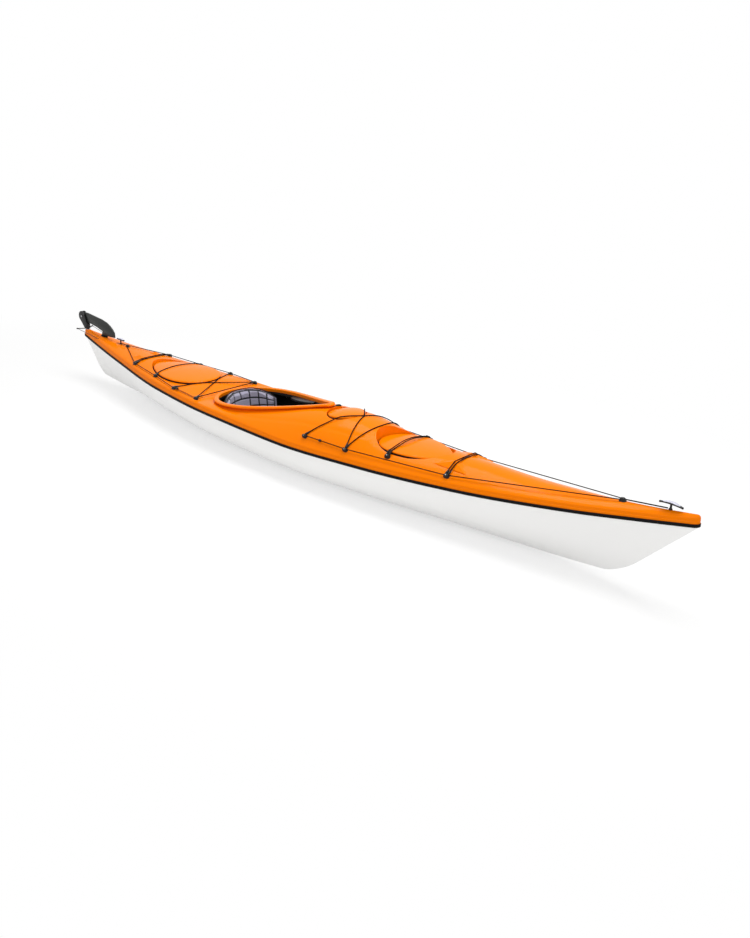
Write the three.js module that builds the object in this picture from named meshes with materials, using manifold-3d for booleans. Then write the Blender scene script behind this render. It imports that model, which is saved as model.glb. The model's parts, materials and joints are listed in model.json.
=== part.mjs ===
// Sea kayak with a flip-up rudder stowed on its stern deck, in millimetres
// +X runs to the bow, +Y to port and +Z up, with the origin at midship on the flat of the keel
import * as THREE from 'three';
import { mergeVertices } from 'three/addons/utils/BufferGeometryUtils.js';
import Module from 'manifold-3d';

const wasm = await Module();
wasm.setup();

// Driving dimensions of the hull
const hullLength = 4720;
const hullBeam = 590;
const sheerHeight = 206;
const keelRocker = 62;
const keelFlatWidth = 60;
const keelFlatReach = 520;
const stemEdgeWidth = 9;
const noseRadius = 17;
const hullWall = 4;
const deckWall = 4;
const solidTipLength = 170;
const bowHeel = 2030;
const sternHeel = 2180;
const bowHeelBlend = 90;
const sternHeelBlend = 60;
const halfLength = hullLength / 2;
const halfBeam = hullBeam / 2;

// Clearances shared by every fit
const seatGap = 0.35;
const runGap = 0.5;
const cordGap = 0.7;
const overrun = 30;

// Gunwale band and crown of the deck
const bandHeight = 40;
const bandLean = 15;
const crownPeak = 147;

// Black trim round the seam
const trimHeight = 14;
const trimDepth = 3.4;

// Cockpit rim
const cockpitCentre = -300;
const cockpitLength = 876;
const cockpitWidth = 421;
const cockpitTaperShare = 1.14;
const lipRearStand = 22.6;
const lipFrontStand = 23.4;
const lipReach = 31;
const lipDepth = 13.5;
const lipRound = 5;
const riserWall = 4;
const riserTuck = 13;

// Hatches, each with the depths it is sunk at its rear and front and the margin and flare of its well
const hatchShares = {
  bowX: 0.3352, sternX: -0.5104, bowLength: 0.09237, sternLength: 0.11441, bowTaper: 0.165, podTaper: 0.1,
  sternTaper: -0.286,
};
const podRearGap = 44;
const bowHatch = {
  x: hatchShares.bowX * halfLength, halfLength: hatchShares.bowLength * halfLength, halfWidth: 143,
  taperShare: hatchShares.bowTaper, rearSink: 63, frontSink: 40, rimDepth: 40, margin: 12, flare: 24,
};
const podHatch = {
  x: cockpitCentre + cockpitLength / 2 + podRearGap + 101, halfLength: 101, halfWidth: 101,
  taperShare: hatchShares.podTaper, rearSink: 27, frontSink: 19, rimDepth: 30, margin: 12, flare: 8,
};
const sternHatch = {
  x: hatchShares.sternX * halfLength, halfLength: hatchShares.sternLength * halfLength, halfWidth: 170,
  taperShare: hatchShares.sternTaper, rearSink: 31, frontSink: 9, rimDepth: 30, margin: 12, flare: 24,
};
const wellReach = 120;
const rimWall = 9;
const rimStand = 9;
const lidOverhang = 5;
const lidEdge = 8;
const lidDome = 12;
const lidWall = 5;
const plugWall = 4;
const plugDepth = 8;
const plugGap = 1.2;

// Bulkheads and the day-hatch tub
const bulkheadWall = 6;
const bowBulkheadGap = 48;
const sternBulkheadShare = 0.58;
const bowBulkheadX = bowHatch.x - bowHatch.halfLength - bowBulkheadGap;
const cockpitRear = cockpitCentre - cockpitLength / 2;
const cockpitFront = cockpitCentre + cockpitLength / 2;
const sternBulkheadX = cockpitRear
  + (sternHatch.x + sternHatch.halfLength - cockpitRear) * sternBulkheadShare;
const tubDepth = 100;
const tubWall = 3;

// Cords and fittings
const bungeeDiameter = 6;
const lineDiameter = 5;
const pairSpread = 14;
const fittingLength = 37;
const fittingWidth = 24;
const fittingHeight = 18;
const cordStand = 10;
const lineOutboard = 4.6;
const foreBow = 56;
const crossingGap = 15;
const sternStrapBow = 26;
const routePitch = 4;
const sideFallShare = 0.35;
const slackTolerance = 0.3;
const fittingRingShares = [[1, -0.2], [1, 0.62], [0.6, 1]];

// Moulded ridges under the paired cords
const ridgeLength = 120;
const ridgeWidth = 46;
const ridgeRise = 15;
const ridgeShares = { bow: [0.4686, 0.271], stern: [-0.6797, 0.21] };
const bowRidge = { x: ridgeShares.bow[0] * halfLength, y: ridgeShares.bow[1] * halfBeam };
const sternRidge = { x: ridgeShares.stern[0] * halfLength, y: ridgeShares.stern[1] * halfBeam };

// Deck fittings on the port side, mirrored to starboard, as shares of the half-length and the half-beam
const fittingShares = {
  fore_1: [0.0814, 0.824], fore_2: [0.2059, 0.773], bow_hatch: [0.314, 0.597], bow_ridge: [0.4737, 0.536],
  aft_1: [-0.3288, 0.814], aft_2: [-0.428, 0.78], stern_hatch: [-0.536, 0.624], stern_ridge: [-0.6568, 0.481],
};
const fittings = Object.fromEntries(Object.entries(fittingShares).map(([name, [along, wide]]) => (
  [name, { x: along * halfLength, y: wide * halfBeam }])));
const bowCentreInset = 365;
const bowCentreX = halfLength - bowCentreInset;
const aftFittingGap = 38;
fittings.aft_1.x = cockpitRear - aftFittingGap;

// Carrying toggles
const bowToggleInset = 139;
const sternToggleGap = 27;
const sternCentreGap = 82;
const bowToggleX = halfLength - bowToggleInset;
const bowToggleLength = 113;
const sternToggleLength = 84;
const bowToggleStand = 34;
const sternToggleStand = 36;
const toggleFoot = 9;
const toggleFootDepth = 4;
const togglePost = 12;
const toggleCordHeight = 7;
const toggleCordInset = 7;
const toggleRadius = 6.5;
const toggleStemRadius = 5;
const toggleCordEnd = 13;

// Sliding beads
const beadShare = 0.391;
const beadX = fittings.fore_1.x + (fittings.fore_2.x - fittings.fore_1.x) * beadShare;
const knobGap = 40;
const knobX = fittings.aft_2.x + knobGap;
const beadLength = 16;
const beadRadius = 7;
const knobLength = 20;
const knobRadius = 6.6;
const liftDiameter = 3;
const liftLow = 6.2;
const liftHigh = 12.4;
const liftLoop = 24;
const liftInset = 11;
const liftClear = 4;
const knobRaise = 3;

// Rudder
const yawInset = 20;
const yawX = yawInset - halfLength;
const pinDiameter = 6;
const pinLength = 66;
const pivotAft = 44;
const pivotX = yawX - pivotAft;
const bladeThickness = 9;
const bladeRoot = 30;
const bladeReach = 393;
const sternToggleX = pivotX + bladeReach + sternToggleGap + sternToggleLength / 2;
const sternCentreX = sternToggleX + sternCentreGap;
const headThickness = 27;
const headRadius = 37;
const headBlock = 30;
const headBlockHalf = 18;
const slotGap = 1.2;
const boltDiameter = 8;
const boltHead = 15;
const boltHeadDepth = 3;
const yokePlate = 4;
const yokeHalfSpan = 62;
const yokeSweep = 35;
const yokeDisc = 15;
const yokeArm = 12;
const yokeBall = 6;
const gudgeonPlate = 3;
const gudgeonLength = 44;
const gudgeonWidth = 24;
const gudgeonSink = 2.4;
const gudgeonFront = 30;
const yokeBallHeight = 7;
const restAhead = 215;
const restX = yawX + restAhead;
const restStand = 10;
const restLength = 70;
const restWidth = 30;
const cableDiameter = 3.5;
const cablePitchShare = 16;
const cableEntryX = yawX + 244;
const cableEntryDrop = 2;
const cableClear = 2;

// Seat, backrest and foot braces
const seatX = -462;
const seatHalfLength = 180;
const seatHalfWidth = 185;
const seatFlatShare = 0.8;
const seatFloor = 40;
const seatRim = 36;
const panEdge = 6;
const panLift = 1.2;
const plugShare = 0.86;
const lidRound = 3;
const cushionShare = 0.72;
const cushionRise = 20;
const backrestX = -640;
const backrestArc = 226;
const backrestHalfTurn = (65 * Math.PI) / 180;
const backrestBase = 122;
const backrestHeight = 175;
const backrestLean = 22;
const backrestPad = 26;
const backrestShell = 4;
const backrestGroove = 5;
const hingeX = -636;
const hingeZ = 116;
const lugWidth = 9;
const lugRadius = 12;
const lugY = 128;
const lugFront = -604.6;
const lugRise = 34;
const bossRadius = 4;
const earWall = 6;
const archShare = 0.38;
const baseShare = 0.26;
const shellShare = 0.94;
const braceReach = 46;
const braceWall = 12;
const braceFrom = 58;
const braceTo = 98;
const railLength = 350;
const railGap = 25;
const railRearX = bowBulkheadX - railGap - railLength;
const railHeight = 26;
const railDepth = 12;
const railZ = 118;
const railLip = 6;
const carriageX = 60;
const carriageLength = 60;
const pegWidth = 78;
const pegHeight = 62;
const pegWall = 11;
const toeHeight = 74;
const toeWall = 7;
const toeBarrel = 5.5;
const toePin = 2.5;
const toeLug = 6;

// Materials
const paint = (color, roughness, metalness = 0) => (
  new THREE.MeshStandardMaterial({ color, roughness, metalness }));
const orange = paint(0xff8a00, 0.2);
const white = paint(0xf2f2f2, 0.25);
const black = paint(0x111111, 0.5);
const cordBlack = paint(0x1a1412, 0.8);
const lavender = paint(0x8d88a0, 0.85);
const steel = paint(0xb8b8bc, 0.3, 1);
const alloy = paint(0x9a9ca0, 0.4, 1);
const charcoal = paint(0x3a3a3e, 0.6);

const clamp = (v, low = 0, high = 1) => Math.min(Math.max(v, low), high);
const mix = (a, b, t) => a + (b - a) * t;
const range = (n) => Array.from({ length: n }, (_, i) => i);
const sides = [['port', 1], ['starboard', -1]];

// Smooth curve through the shares of a table that never overshoots between its stations
function monotone(xs, ys) {
  const last = xs.length - 1;
  const step = (i) => xs[i + 1] - xs[i];
  const slope = (i) => (ys[i + 1] - ys[i]) / step(i);
  const tangents = ys.map((_, i) => {
    if (i === 0) return slope(0);
    if (i === last) return slope(last - 1);
    if (slope(i - 1) * slope(i) <= 0) return 0;
    const before = 2 * step(i) + step(i - 1);
    const after = step(i) + 2 * step(i - 1);
    return (before + after) / (before / slope(i - 1) + after / slope(i));
  });
  return (x) => {
    const at = clamp(x, xs[0], xs[last]);
    let i = 0;
    while (i < last - 1 && at > xs[i + 1]) i += 1;
    const t = (at - xs[i]) / step(i);
    const u = 1 - t;
    return (1 + 2 * t) * u * u * ys[i] + t * u * u * step(i) * tangents[i]
      + t * t * (3 - 2 * t) * ys[i + 1] - t * t * u * step(i) * tangents[i + 1];
  };
}

// Lines of the hull as shares of the half-length, half-beam, sheer height and crown
const stationShares = [-1, -0.9, -0.75, -0.5, -0.25, 0, 0.25, 0.5, 0.75, 0.9, 1];
const breadthShares = [0.058, 0.215, 0.44, 0.81, 0.985, 1, 0.86, 0.62, 0.345, 0.15, 0.058];
const sheerShares = [1.52, 1.4, 1.25, 1.1, 1.04, 1, 1.08, 1.24, 1.56, 1.82, 2.03];
const crownStationShares = [-1, -0.85, -0.6, -0.4, -0.314, -0.22, -0.127, -0.034, 0.058, 0.15, 0.3, 0.5,
  0.7, 0.85, 1];
const crownShares = [0.03, 0.1, 0.2, 0.19, -0.05, 0.17, 0.52, 0.73, 0.94, 1, 0.6, 0.47, 0.2, 0.12, 0.06];
const breadthAt = monotone(stationShares, breadthShares);
const sheerAt = monotone(stationShares, sheerShares);
const crownAt = monotone(crownStationShares, crownShares);

// The plan closes in a round nose at each tip, left blunt at the very end
const bluntShare = 0.25;
function noseRound(x) {
  const into = clamp((Math.abs(x) - (halfLength - noseRadius)) / noseRadius);
  return Math.max(Math.sqrt(1 - into * into), bluntShare);
}
const breadth = (x) => halfBeam * breadthAt(x / halfLength) * noseRound(x);
const sheer = (x) => sheerHeight * sheerAt(x / halfLength);

// The keel is flat amidships, rockers up to each heel, and climbs the stem or stern post from there
function keel(x) {
  const heel = x > 0 ? bowHeel : sternHeel;
  const blend = x > 0 ? bowHeelBlend : sternHeelBlend;
  const rocker = keelRocker * clamp((Math.abs(x) - keelFlatReach) / (heel - keelFlatReach)) ** 2.2;
  const tip = sheer(Math.sign(x) * halfLength) - stemEdgeWidth;
  const climb = (tip - keelRocker) / (halfLength - heel);
  const past = Math.abs(x) - heel;
  if (past <= -blend) return rocker;
  const lift = past < blend ? climb * (past + blend) ** 2 / (4 * blend) : climb * past;
  return Math.min(rocker + lift, sheer(x) - stemEdgeWidth);
}

// Half of a hull section, from the edge of the keel flat up to the sheer
const hullSteps = 7;
const fullness = (x) => clamp(1 - (Math.abs(x) / (halfLength * 0.93)) ** 1.9);
function hullHalf(x, inset) {
  const b = breadth(x) - inset;
  const full = fullness(x);
  const floor = Math.min(keel(x) + inset * mix(5, 1, full), sheer(x) - stemEdgeWidth / 2);
  const flat = Math.min(mix(stemEdgeWidth / 2, keelFlatWidth / 2, clamp(full * 1.6)), b * 0.7);
  const deep = sheer(x) - floor;
  const nodes = [
    [flat, floor],
    [mix(flat, b, mix(0.33, 0.8, full)), floor + deep * mix(0.33, 0.03, full)],
    [mix(flat, b, mix(0.67, 1, full)), floor + deep * mix(0.67, 0.32, full)],
    [b, sheer(x)],
  ];
  return range(hullSteps + 1).map((i) => {
    const t = i / hullSteps;
    const weights = [(1 - t) ** 3, 3 * (1 - t) ** 2 * t, 3 * (1 - t) * t * t, t ** 3];
    return [0, 1].map((k) => nodes.reduce((sum, node, j) => sum + node[k] * weights[j], 0));
  });
}

// Moulded gunwale band, as inward and upward shares from the seam to the deck edge
const bandShares = [[0, 0], [0.04, 0.2], [0.1, 0.42], [0.34, 0.5], [0.34, 0.57], [0.5, 0.8], [1, 1]];
const bandTop = (x) => sheer(x) + bandHeight * mix(0.55, 1, noseRound(x));
const leanAt = (x) => bandLean * clamp(breadth(x) / (2.4 * bandLean));
const crownPower = (x) => mix(2.3, 1.55, clamp((x / halfLength - 0.2) / 0.6));
function deckTop(x, y) {
  const across = clamp(Math.abs(y) / (breadth(x) - leanAt(x)));
  return bandTop(x) + crownPeak * crownAt(x / halfLength) * (1 - across ** crownPower(x));
}

// Half of a deck section, from the seam over the band to the crown
const deckSteps = 6;
function deckHalf(x, inset) {
  const b = breadth(x) - inset;
  const lean = Math.min(leanAt(x), b * 0.5);
  const rise = bandTop(x) - sheer(x);
  const shares = inset ? [bandShares[0], bandShares.at(-2), bandShares.at(-1)] : bandShares;
  const band = shares.map(([inward, up]) => [b - lean * inward, sheer(x) + rise * up - (up > 0 ? inset : 0)]);
  const edge = b - lean;
  const outerEdge = breadth(x) - leanAt(x);
  const top = range(deckSteps).map((i) => {
    const across = 1 - (i + 1) / deckSteps;
    return [edge * across, deckTop(x, outerEdge * across) - inset];
  });
  return band.concat(top);
}

// Closed geometry through a row of rings with equal numbers of points, capped with a fan at each end
function loft(rings) {
  const n = rings[0].length;
  const last = rings.length - 1;
  const middle = (ring) => [0, 1, 2].map((k) => ring.reduce((sum, p) => sum + p[k], 0) / n);
  const places = [...rings.flat(), middle(rings[0]), middle(rings[last])];
  const index = [];
  for (let j = 0; j < n; j += 1) {
    const next = (j + 1) % n;
    for (let i = 0; i < last; i += 1) {
      const a = i * n + j;
      const b = i * n + next;
      index.push(a, a + n, b, b, a + n, b + n);
    }
    index.push(j, next, places.length - 2);
    index.push(last * n + next, last * n + j, places.length - 1);
  }
  return indexed(places, index);
}

function indexed(places, index) {
  const geometry = new THREE.BufferGeometry();
  geometry.setAttribute('position', new THREE.Float32BufferAttribute(places.flat(), 3));
  geometry.setIndex(index);
  return geometry;
}

// Manifold solid of a closed three.js geometry, turned to face out
function solid(geometry) {
  const bare = geometry.clone();
  for (const key of Object.keys(bare.attributes)) {
    if (key !== 'position') bare.deleteAttribute(key);
  }
  const merged = mergeVertices(bare, 1e-4);
  const places = merged.attributes.position.array;
  const tris = merged.index.array;
  const kept = [];
  let volume = 0;
  for (let i = 0; i < tris.length; i += 3) {
    const corners = [tris[i], tris[i + 1], tris[i + 2]];
    if (new Set(corners).size < 3) continue;
    kept.push(...corners);
    const [a, b, c] = corners.map((k) => new THREE.Vector3().fromArray(places, 3 * k));
    volume += a.dot(b.cross(c));
  }
  if (volume < 0) kept.reverse();
  return new wasm.Manifold(new wasm.Mesh({
    numProp: 3,
    vertProperties: new Float32Array(places),
    triVerts: new Uint32Array(kept),
  }));
}

const kayak = new THREE.Group();
function add(name, body, material) {
  const { vertProperties, triVerts } = body.getMesh();
  const geometry = new THREE.BufferGeometry();
  geometry.setAttribute('position', new THREE.BufferAttribute(new Float32Array(vertProperties), 3));
  geometry.setIndex(new THREE.BufferAttribute(new Uint32Array(triVerts), 1));
  const mesh = new THREE.Mesh(geometry, material);
  mesh.name = name;
  kayak.add(mesh);
}

const cut = (body, tools) => tools.reduce((left, tool) => left.subtract(tool), body);
const join = (body, more) => more.reduce((left, piece) => left.add(piece), body);

// Box between two corners
function box([x0, y0, z0], [x1, y1, z1]) {
  const geometry = new THREE.BoxGeometry(x1 - x0, y1 - y0, z1 - z0);
  geometry.translate((x0 + x1) / 2, (y0 + y1) / 2, (z0 + z1) / 2);
  return solid(geometry);
}

// Cylinder along an axis, by its centre, radius and length
function rod(axis, [x, y, z], radius, length, sideCount = 16) {
  const geometry = new THREE.CylinderGeometry(radius, radius, length, sideCount);
  if (axis === 'z') geometry.rotateX(Math.PI / 2);
  if (axis === 'x') geometry.rotateZ(Math.PI / 2);
  geometry.translate(x, y, z);
  return solid(geometry);
}

// Tube along a smooth route
function tube(route, diameter, sideCount = 6, pitchShare = 3.2) {
  const curve = new THREE.CatmullRomCurve3(route.map((p) => new THREE.Vector3(...p)), false, 'centripetal');
  const section = new THREE.Shape(range(sideCount).map((i) => {
    const turn = (2 * Math.PI * (i + 0.5)) / sideCount;
    return new THREE.Vector2(Math.cos(turn) * diameter / 2, Math.sin(turn) * diameter / 2);
  }));
  const steps = clamp(Math.round(curve.getLength() / (pitchShare * diameter)), 2, 76);
  return solid(new THREE.ExtrudeGeometry(section, { steps, extrudePath: curve, bevelEnabled: false }));
}

// Tube through straight stretches between chosen places
function polyTube(route, diameter, sideCount = 6) {
  const points = route.map((p) => new THREE.Vector3(...p));
  const rings = points.map((p, i) => {
    const next = points[Math.min(i + 1, points.length - 1)];
    const ahead = next.clone().sub(points[Math.max(i - 1, 0)]).normalize();
    const across = new THREE.Vector3(0, 0, 1).cross(ahead).normalize();
    const up = ahead.clone().cross(across);
    return range(sideCount).map((k) => {
      const turn = (2 * Math.PI * (k + 0.5)) / sideCount;
      return p.clone().addScaledVector(across, Math.cos(turn) * diameter / 2)
        .addScaledVector(up, Math.sin(turn) * diameter / 2).toArray();
    });
  });
  return solid(loft(rings));
}

// Plate drawn in the X and Z plane, centred on the keel line, with an optional thin edge
function plateXZ(shape, width, edge = 0) {
  const options = edge
    ? { depth: width - 2 * edge, bevelEnabled: true, bevelThickness: edge, bevelSize: 2 * edge,
      bevelSegments: 1 }
    : { depth: width, bevelEnabled: false };
  const geometry = new THREE.ExtrudeGeometry(shape, { ...options, curveSegments: 8 });
  geometry.translate(0, 0, -(width / 2) + edge);
  geometry.rotateX(Math.PI / 2);
  return solid(geometry);
}

// Prism over a closed plan outline between two heights that vary with the place
function prism(outline, low, high) {
  return solid(loft([low, high].map((height) => outline.map(([x, y]) => [x, y, height(x, y)]))));
}

// Plan outline moved outwards along its normals
function normals(outline) {
  const n = outline.length;
  return outline.map((_, i) => {
    const a = outline[(i + n - 1) % n];
    const b = outline[(i + 1) % n];
    const size = Math.hypot(b[0] - a[0], b[1] - a[1]);
    return [(b[1] - a[1]) / size, (a[0] - b[0]) / size];
  });
}
const grow = (outline, by) => {
  const out = normals(outline);
  return outline.map(([x, y], i) => [x + out[i][0] * by, y + out[i][1] * by]);
};

// Ring swept round a closed plan outline, from a profile of outward offsets and heights
function sweptRing(outline, profile) {
  const out = normals(outline);
  const n = outline.length;
  const m = profile.length;
  const places = outline.flatMap(([x, y], i) => profile.map(([offset, height]) => {
    const at = [x + out[i][0] * offset, y + out[i][1] * offset];
    return [...at, height(...at)];
  }));
  const index = range(n * m).flatMap((a) => {
    const i = Math.floor(a / m);
    const j = a % m;
    const b = i * m + (j + 1) % m;
    const c = ((i + 1) % n) * m + j;
    const d = ((i + 1) % n) * m + (j + 1) % m;
    return [a, c, b, b, c, d];
  });
  return solid(indexed(places, index));
}

// Cushion-like solid over a plan outline: rings at shares of the radius, with a top and an underside
function pad(outline, [cx, cy], ringShares, top, under) {
  const n = outline.length;
  const ring = (share, height) => outline.map(([x, y]) => {
    const at = [mix(cx, x, share), mix(cy, y, share)];
    return [...at, height(...at, share)];
  });
  const rings = [...ringShares.map((share) => ring(share, top)),
    ...[...ringShares].reverse().map((share) => ring(share, under))];
  const places = [...rings.flat(), [cx, cy, top(cx, cy, 0)], [cx, cy, under(cx, cy, 0)]];
  const lastRing = (rings.length - 1) * n;
  const index = range(n).flatMap((j) => {
    const k = (j + 1) % n;
    const walls = range(rings.length - 1).flatMap((i) => {
      const a = i * n;
      return [a + j, a + n + j, a + n + k, a + j, a + n + k, a + k];
    });
    return [places.length - 2, j, k, ...walls, lastRing + j, places.length - 1, lastRing + k];
  });
  return solid(indexed(places, index));
}

// Closed sheet between two grids of the same size
function slab(columns, rows, front, back) {
  const at = (side, i, j) => side * (columns + 1) * (rows + 1) + j * (columns + 1) + i;
  const places = [front, back].flatMap((face) => range(rows + 1).flatMap((j) => (
    range(columns + 1).map((i) => face((2 * i) / columns - 1, j / rows)))));
  const index = [];
  const quad = (a, b, c, d) => index.push(a, b, c, a, c, d);
  range(rows).forEach((j) => range(columns).forEach((i) => {
    quad(at(0, i, j), at(0, i + 1, j), at(0, i + 1, j + 1), at(0, i, j + 1));
    quad(at(1, i, j), at(1, i, j + 1), at(1, i + 1, j + 1), at(1, i + 1, j));
  }));
  range(columns).forEach((i) => {
    quad(at(0, i, 0), at(1, i, 0), at(1, i + 1, 0), at(0, i + 1, 0));
    quad(at(0, i, rows), at(0, i + 1, rows), at(1, i + 1, rows), at(1, i, rows));
  });
  range(rows).forEach((j) => {
    quad(at(0, 0, j), at(0, 0, j + 1), at(1, 0, j + 1), at(1, 0, j));
    quad(at(0, columns, j), at(1, columns, j), at(1, columns, j + 1), at(0, columns, j + 1));
  });
  return solid(indexed(places, index));
}

// Plan outlines of a hatch and of the cockpit
const turns = (n) => range(n).map((i) => (2 * Math.PI * i) / n);
function hatchOutline(hatch, grown = 0, count = 28) {
  return grow(turns(count).map((turn) => [
    hatch.x + hatch.halfLength * Math.cos(turn),
    hatch.halfWidth * Math.sin(turn) * (1 - hatch.taperShare * Math.cos(turn)),
  ]), grown);
}
function cockpitPoint(turn) {
  const along = (1 + Math.cos(turn)) / 2;
  const y = (cockpitWidth / 2) * Math.sin(turn) * (1 + cockpitTaperShare * (0.35 - along));
  return [cockpitCentre + (cockpitLength / 2) * Math.cos(turn), y];
}
const cockpitOutline = (grown = 0, count = 44) => grow(turns(count).map(cockpitPoint), grown);
function lipTop(x) {
  const along = clamp((x - cockpitCentre) / cockpitLength + 0.5);
  return mix(deckTop(cockpitRear, 0) + lipRearStand, deckTop(cockpitFront, 0) + lipFrontStand, along ** 1.5);
}

// Stations, closer together towards the tips
const stationCount = 31;
const tipShares = [0.03, 0.2, 0.55];
const middleStations = range(stationCount).map((i) => {
  const s = (2 * i) / (stationCount - 1) - 1;
  return (halfLength - noseRadius) * mix(s, Math.sin((s * Math.PI) / 2), 0.45);
});
const tips = tipShares.map((share) => halfLength - noseRadius * share);
const stations = [...tips.map((x) => -x), ...middleStations, ...[...tips].reverse()];
const voidEnd = halfLength - solidTipLength;
const voidMiddle = middleStations.filter((x, i) => i % 2 === 1 && Math.abs(x) < voidEnd - overrun);
const voidStations = [-voidEnd, ...voidMiddle, voidEnd];

// Inner skin of the hull: its height at a place and its half-breadth at a height
function between(x, value) {
  const i = clamp(voidStations.findIndex((at) => at > x), 1, voidStations.length - 1);
  const [a, b] = [voidStations[i - 1], voidStations[i]];
  return mix(value(a), value(b), (x - a) / (b - a));
}
function crossing(x, from, to, at) {
  const half = hullHalf(x, hullWall);
  const i = clamp(half.findIndex((p) => p[from] >= at), 1, hullSteps);
  const [a, b] = [half[i - 1], half[i]];
  return mix(a[to], b[to], clamp((at - a[from]) / (b[from] - a[from])));
}
const innerFloor = (x, y) => between(x, (at) => crossing(at, 0, 1, Math.abs(y)));
const innerSide = (x, z) => between(x, (at) => crossing(at, 1, 0, z));

const mirrored = (half, x) => [
  ...half.map(([y, z]) => [x, -y, z]),
  ...[...half].reverse().filter(([y]) => y > 0).map(([y, z]) => [x, y, z]),
];
function hullRing(x, inset, lift = 0) {
  const half = hullHalf(x, inset).reverse();
  return mirrored(lift ? [[half[0][0], half[0][1] + lift], ...half] : half, x);
}
function deckRing(x, inset, drop = 0) {
  const half = deckHalf(x, inset);
  half[0][1] += seatGap;
  return mirrored(drop ? [[half[0][0], half[0][1] - drop], ...half] : half, x);
}
const hullVoid = (inset) => solid(loft(voidStations.map((x) => hullRing(x, inset, overrun))));
const deckVoid = (inset) => solid(loft(voidStations.map((x) => deckRing(x, inset, overrun))));

// Plane that each hatch rim stands on, level across and sloping with the crown along the deck
function seatPlane(hatch) {
  const rear = hatch.x - hatch.halfLength;
  const front = hatch.x + hatch.halfLength;
  const low = deckTop(rear, 0) - hatch.rearSink;
  const high = deckTop(front, 0) - hatch.frontSink;
  return (x) => low + ((high - low) * (x - rear)) / (front - rear);
}
const hatches = Object.entries({ bow_hatch: bowHatch, pod_hatch: podHatch, stern_hatch: sternHatch })
  .map(([name, plan]) => ({ name, plan, seat: seatPlane(plan) }));
const lidTop = ({ seat }, x, share) => (
  seat(x) + rimStand + seatGap + lidEdge + lidDome * (1 - clamp(share) ** 2.2));

// Share of a lid's radius at a place, over 1 outside it
function lidShare({ plan }, x, y) {
  const along = (x - plan.x) / (plan.halfLength + lidOverhang);
  const wide = y / (plan.halfWidth + lidOverhang);
  let share = Math.hypot(along, wide);
  range(4).forEach(() => {
    share = Math.hypot(along, wide / (1 - plan.taperShare * clamp(along / Math.max(share, 1e-6), -1, 1)));
  });
  return share;
}

// Height of whatever a cord may lie on
function ridgeTop({ x: rx, y: ry }, x, y) {
  const share = Math.max(Math.abs(x - rx) / (ridgeLength / 2), Math.abs(Math.abs(y) - ry) / (ridgeWidth / 2));
  return deckTop(rx, ry) + ridgeRise * (1 - share);
}
function restTop(x, y) {
  const heights = [deckTop(x, y), ridgeTop(bowRidge, x, y), ridgeTop(sternRidge, x, y)];
  for (const hatch of hatches) {
    const share = lidShare(hatch, x, y);
    if (share < 1.03) heights.push(lidTop(hatch, x, share));
  }
  return Math.max(...heights);
}

// Route without the points that lie close to the straight line between those kept
function thinned(route) {
  if (route.length < 3) return route;
  const [start, end] = [route[0], route.at(-1)].map((p) => new THREE.Vector3(...p));
  const line = new THREE.Line3(start, end);
  const off = route.map((p) => {
    const at = new THREE.Vector3(...p);
    return at.distanceTo(line.closestPointToPoint(at, true, new THREE.Vector3()));
  });
  const worst = off.indexOf(Math.max(...off));
  if (off[worst] < slackTolerance) return [route[0], route.at(-1)];
  return [...thinned(route.slice(0, worst + 1)), ...thinned(route.slice(worst)).slice(1)];
}

// Taut route between two places, which touches only the high points of what lies under it
function tautRoute(from, to, diameter, bow = 0) {
  const count = Math.ceil(Math.hypot(to[0] - from[0], to[1] - from[1]) / routePitch);
  const kept = [];
  for (const i of range(count + 1)) {
    const t = i / count;
    const x = mix(from[0], to[0], t) + bow * 4 * t * (1 - t);
    const y = mix(from[1], to[1], t);
    const ends = { 0: from[2], [count]: to[2] };
    const under = Math.max(restTop(x, y), restTop(x, Math.abs(y) - diameter / 2));
    const p = [x, y, ends[i] ?? under + diameter / 2 + cordGap, t];
    while (kept.length > 1) {
      const [a, b] = kept.slice(-2);
      if (b[2] > a[2] + ((p[2] - a[2]) * (b[3] - a[3])) / (p[3] - a[3])) break;
      kept.pop();
    }
    kept.push(p);
  }
  return kept.map(([x, y, z]) => [x, y, z]);
}

// Hull and deck shells
const hull = solid(loft(stations.map((x) => hullRing(x, 0)))).subtract(hullVoid(hullWall));

function ridgeBody({ x, y }, side) {
  const cone = new THREE.ConeGeometry(Math.SQRT1_2, 1, 4, 1);
  cone.rotateY(Math.PI / 4);
  cone.rotateX(Math.PI / 2);
  cone.scale(2 * ridgeLength, 2 * ridgeWidth, 2 * ridgeRise);
  cone.translate(x, side * y, deckTop(x, y));
  return solid(cone);
}
const above = (x, y) => deckTop(x, y) + 3 * overrun;
const below = (x, y) => deckTop(x, y) - 3 * overrun;
const well = ({ plan, seat }, grown) => solid(loft([
  hatchOutline(plan, plan.margin + grown).map(([x, y]) => [x, y, seat(x) - grown]),
  hatchOutline(plan, plan.margin + plan.flare + grown).map(([x, y]) => [x, y, seat(x) + wellReach]),
]));
const deckOutside = join(
  solid(loft(stations.map((x) => deckRing(x, 0)))),
  [bowRidge, sternRidge].flatMap((ridge) => [ridgeBody(ridge, 1), ridgeBody(ridge, -1)]),
);
const deckRaised = deckOutside.translate([0, 0, seatGap]);
const deckInside = cut(deckVoid(deckWall), hatches.map((hatch) => well(hatch, deckWall)));

// Rudder levels, stacked up from a flat cut in the stern deck
const gudgeonZ = deckTop(yawX, 0) - gudgeonSink;
const yokeZ = gudgeonZ + seatGap + gudgeonPlate + seatGap;
const headZ = yokeZ + yokePlate + seatGap;
const bladeFootShare = 0.232;
const pivotZ = deckTop(restX, 0) + restStand + bladeFootShare * bladeReach;
const pinBase = gudgeonZ - (pinLength - (headZ - gudgeonZ) - headBlock + gudgeonPlate);

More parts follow.
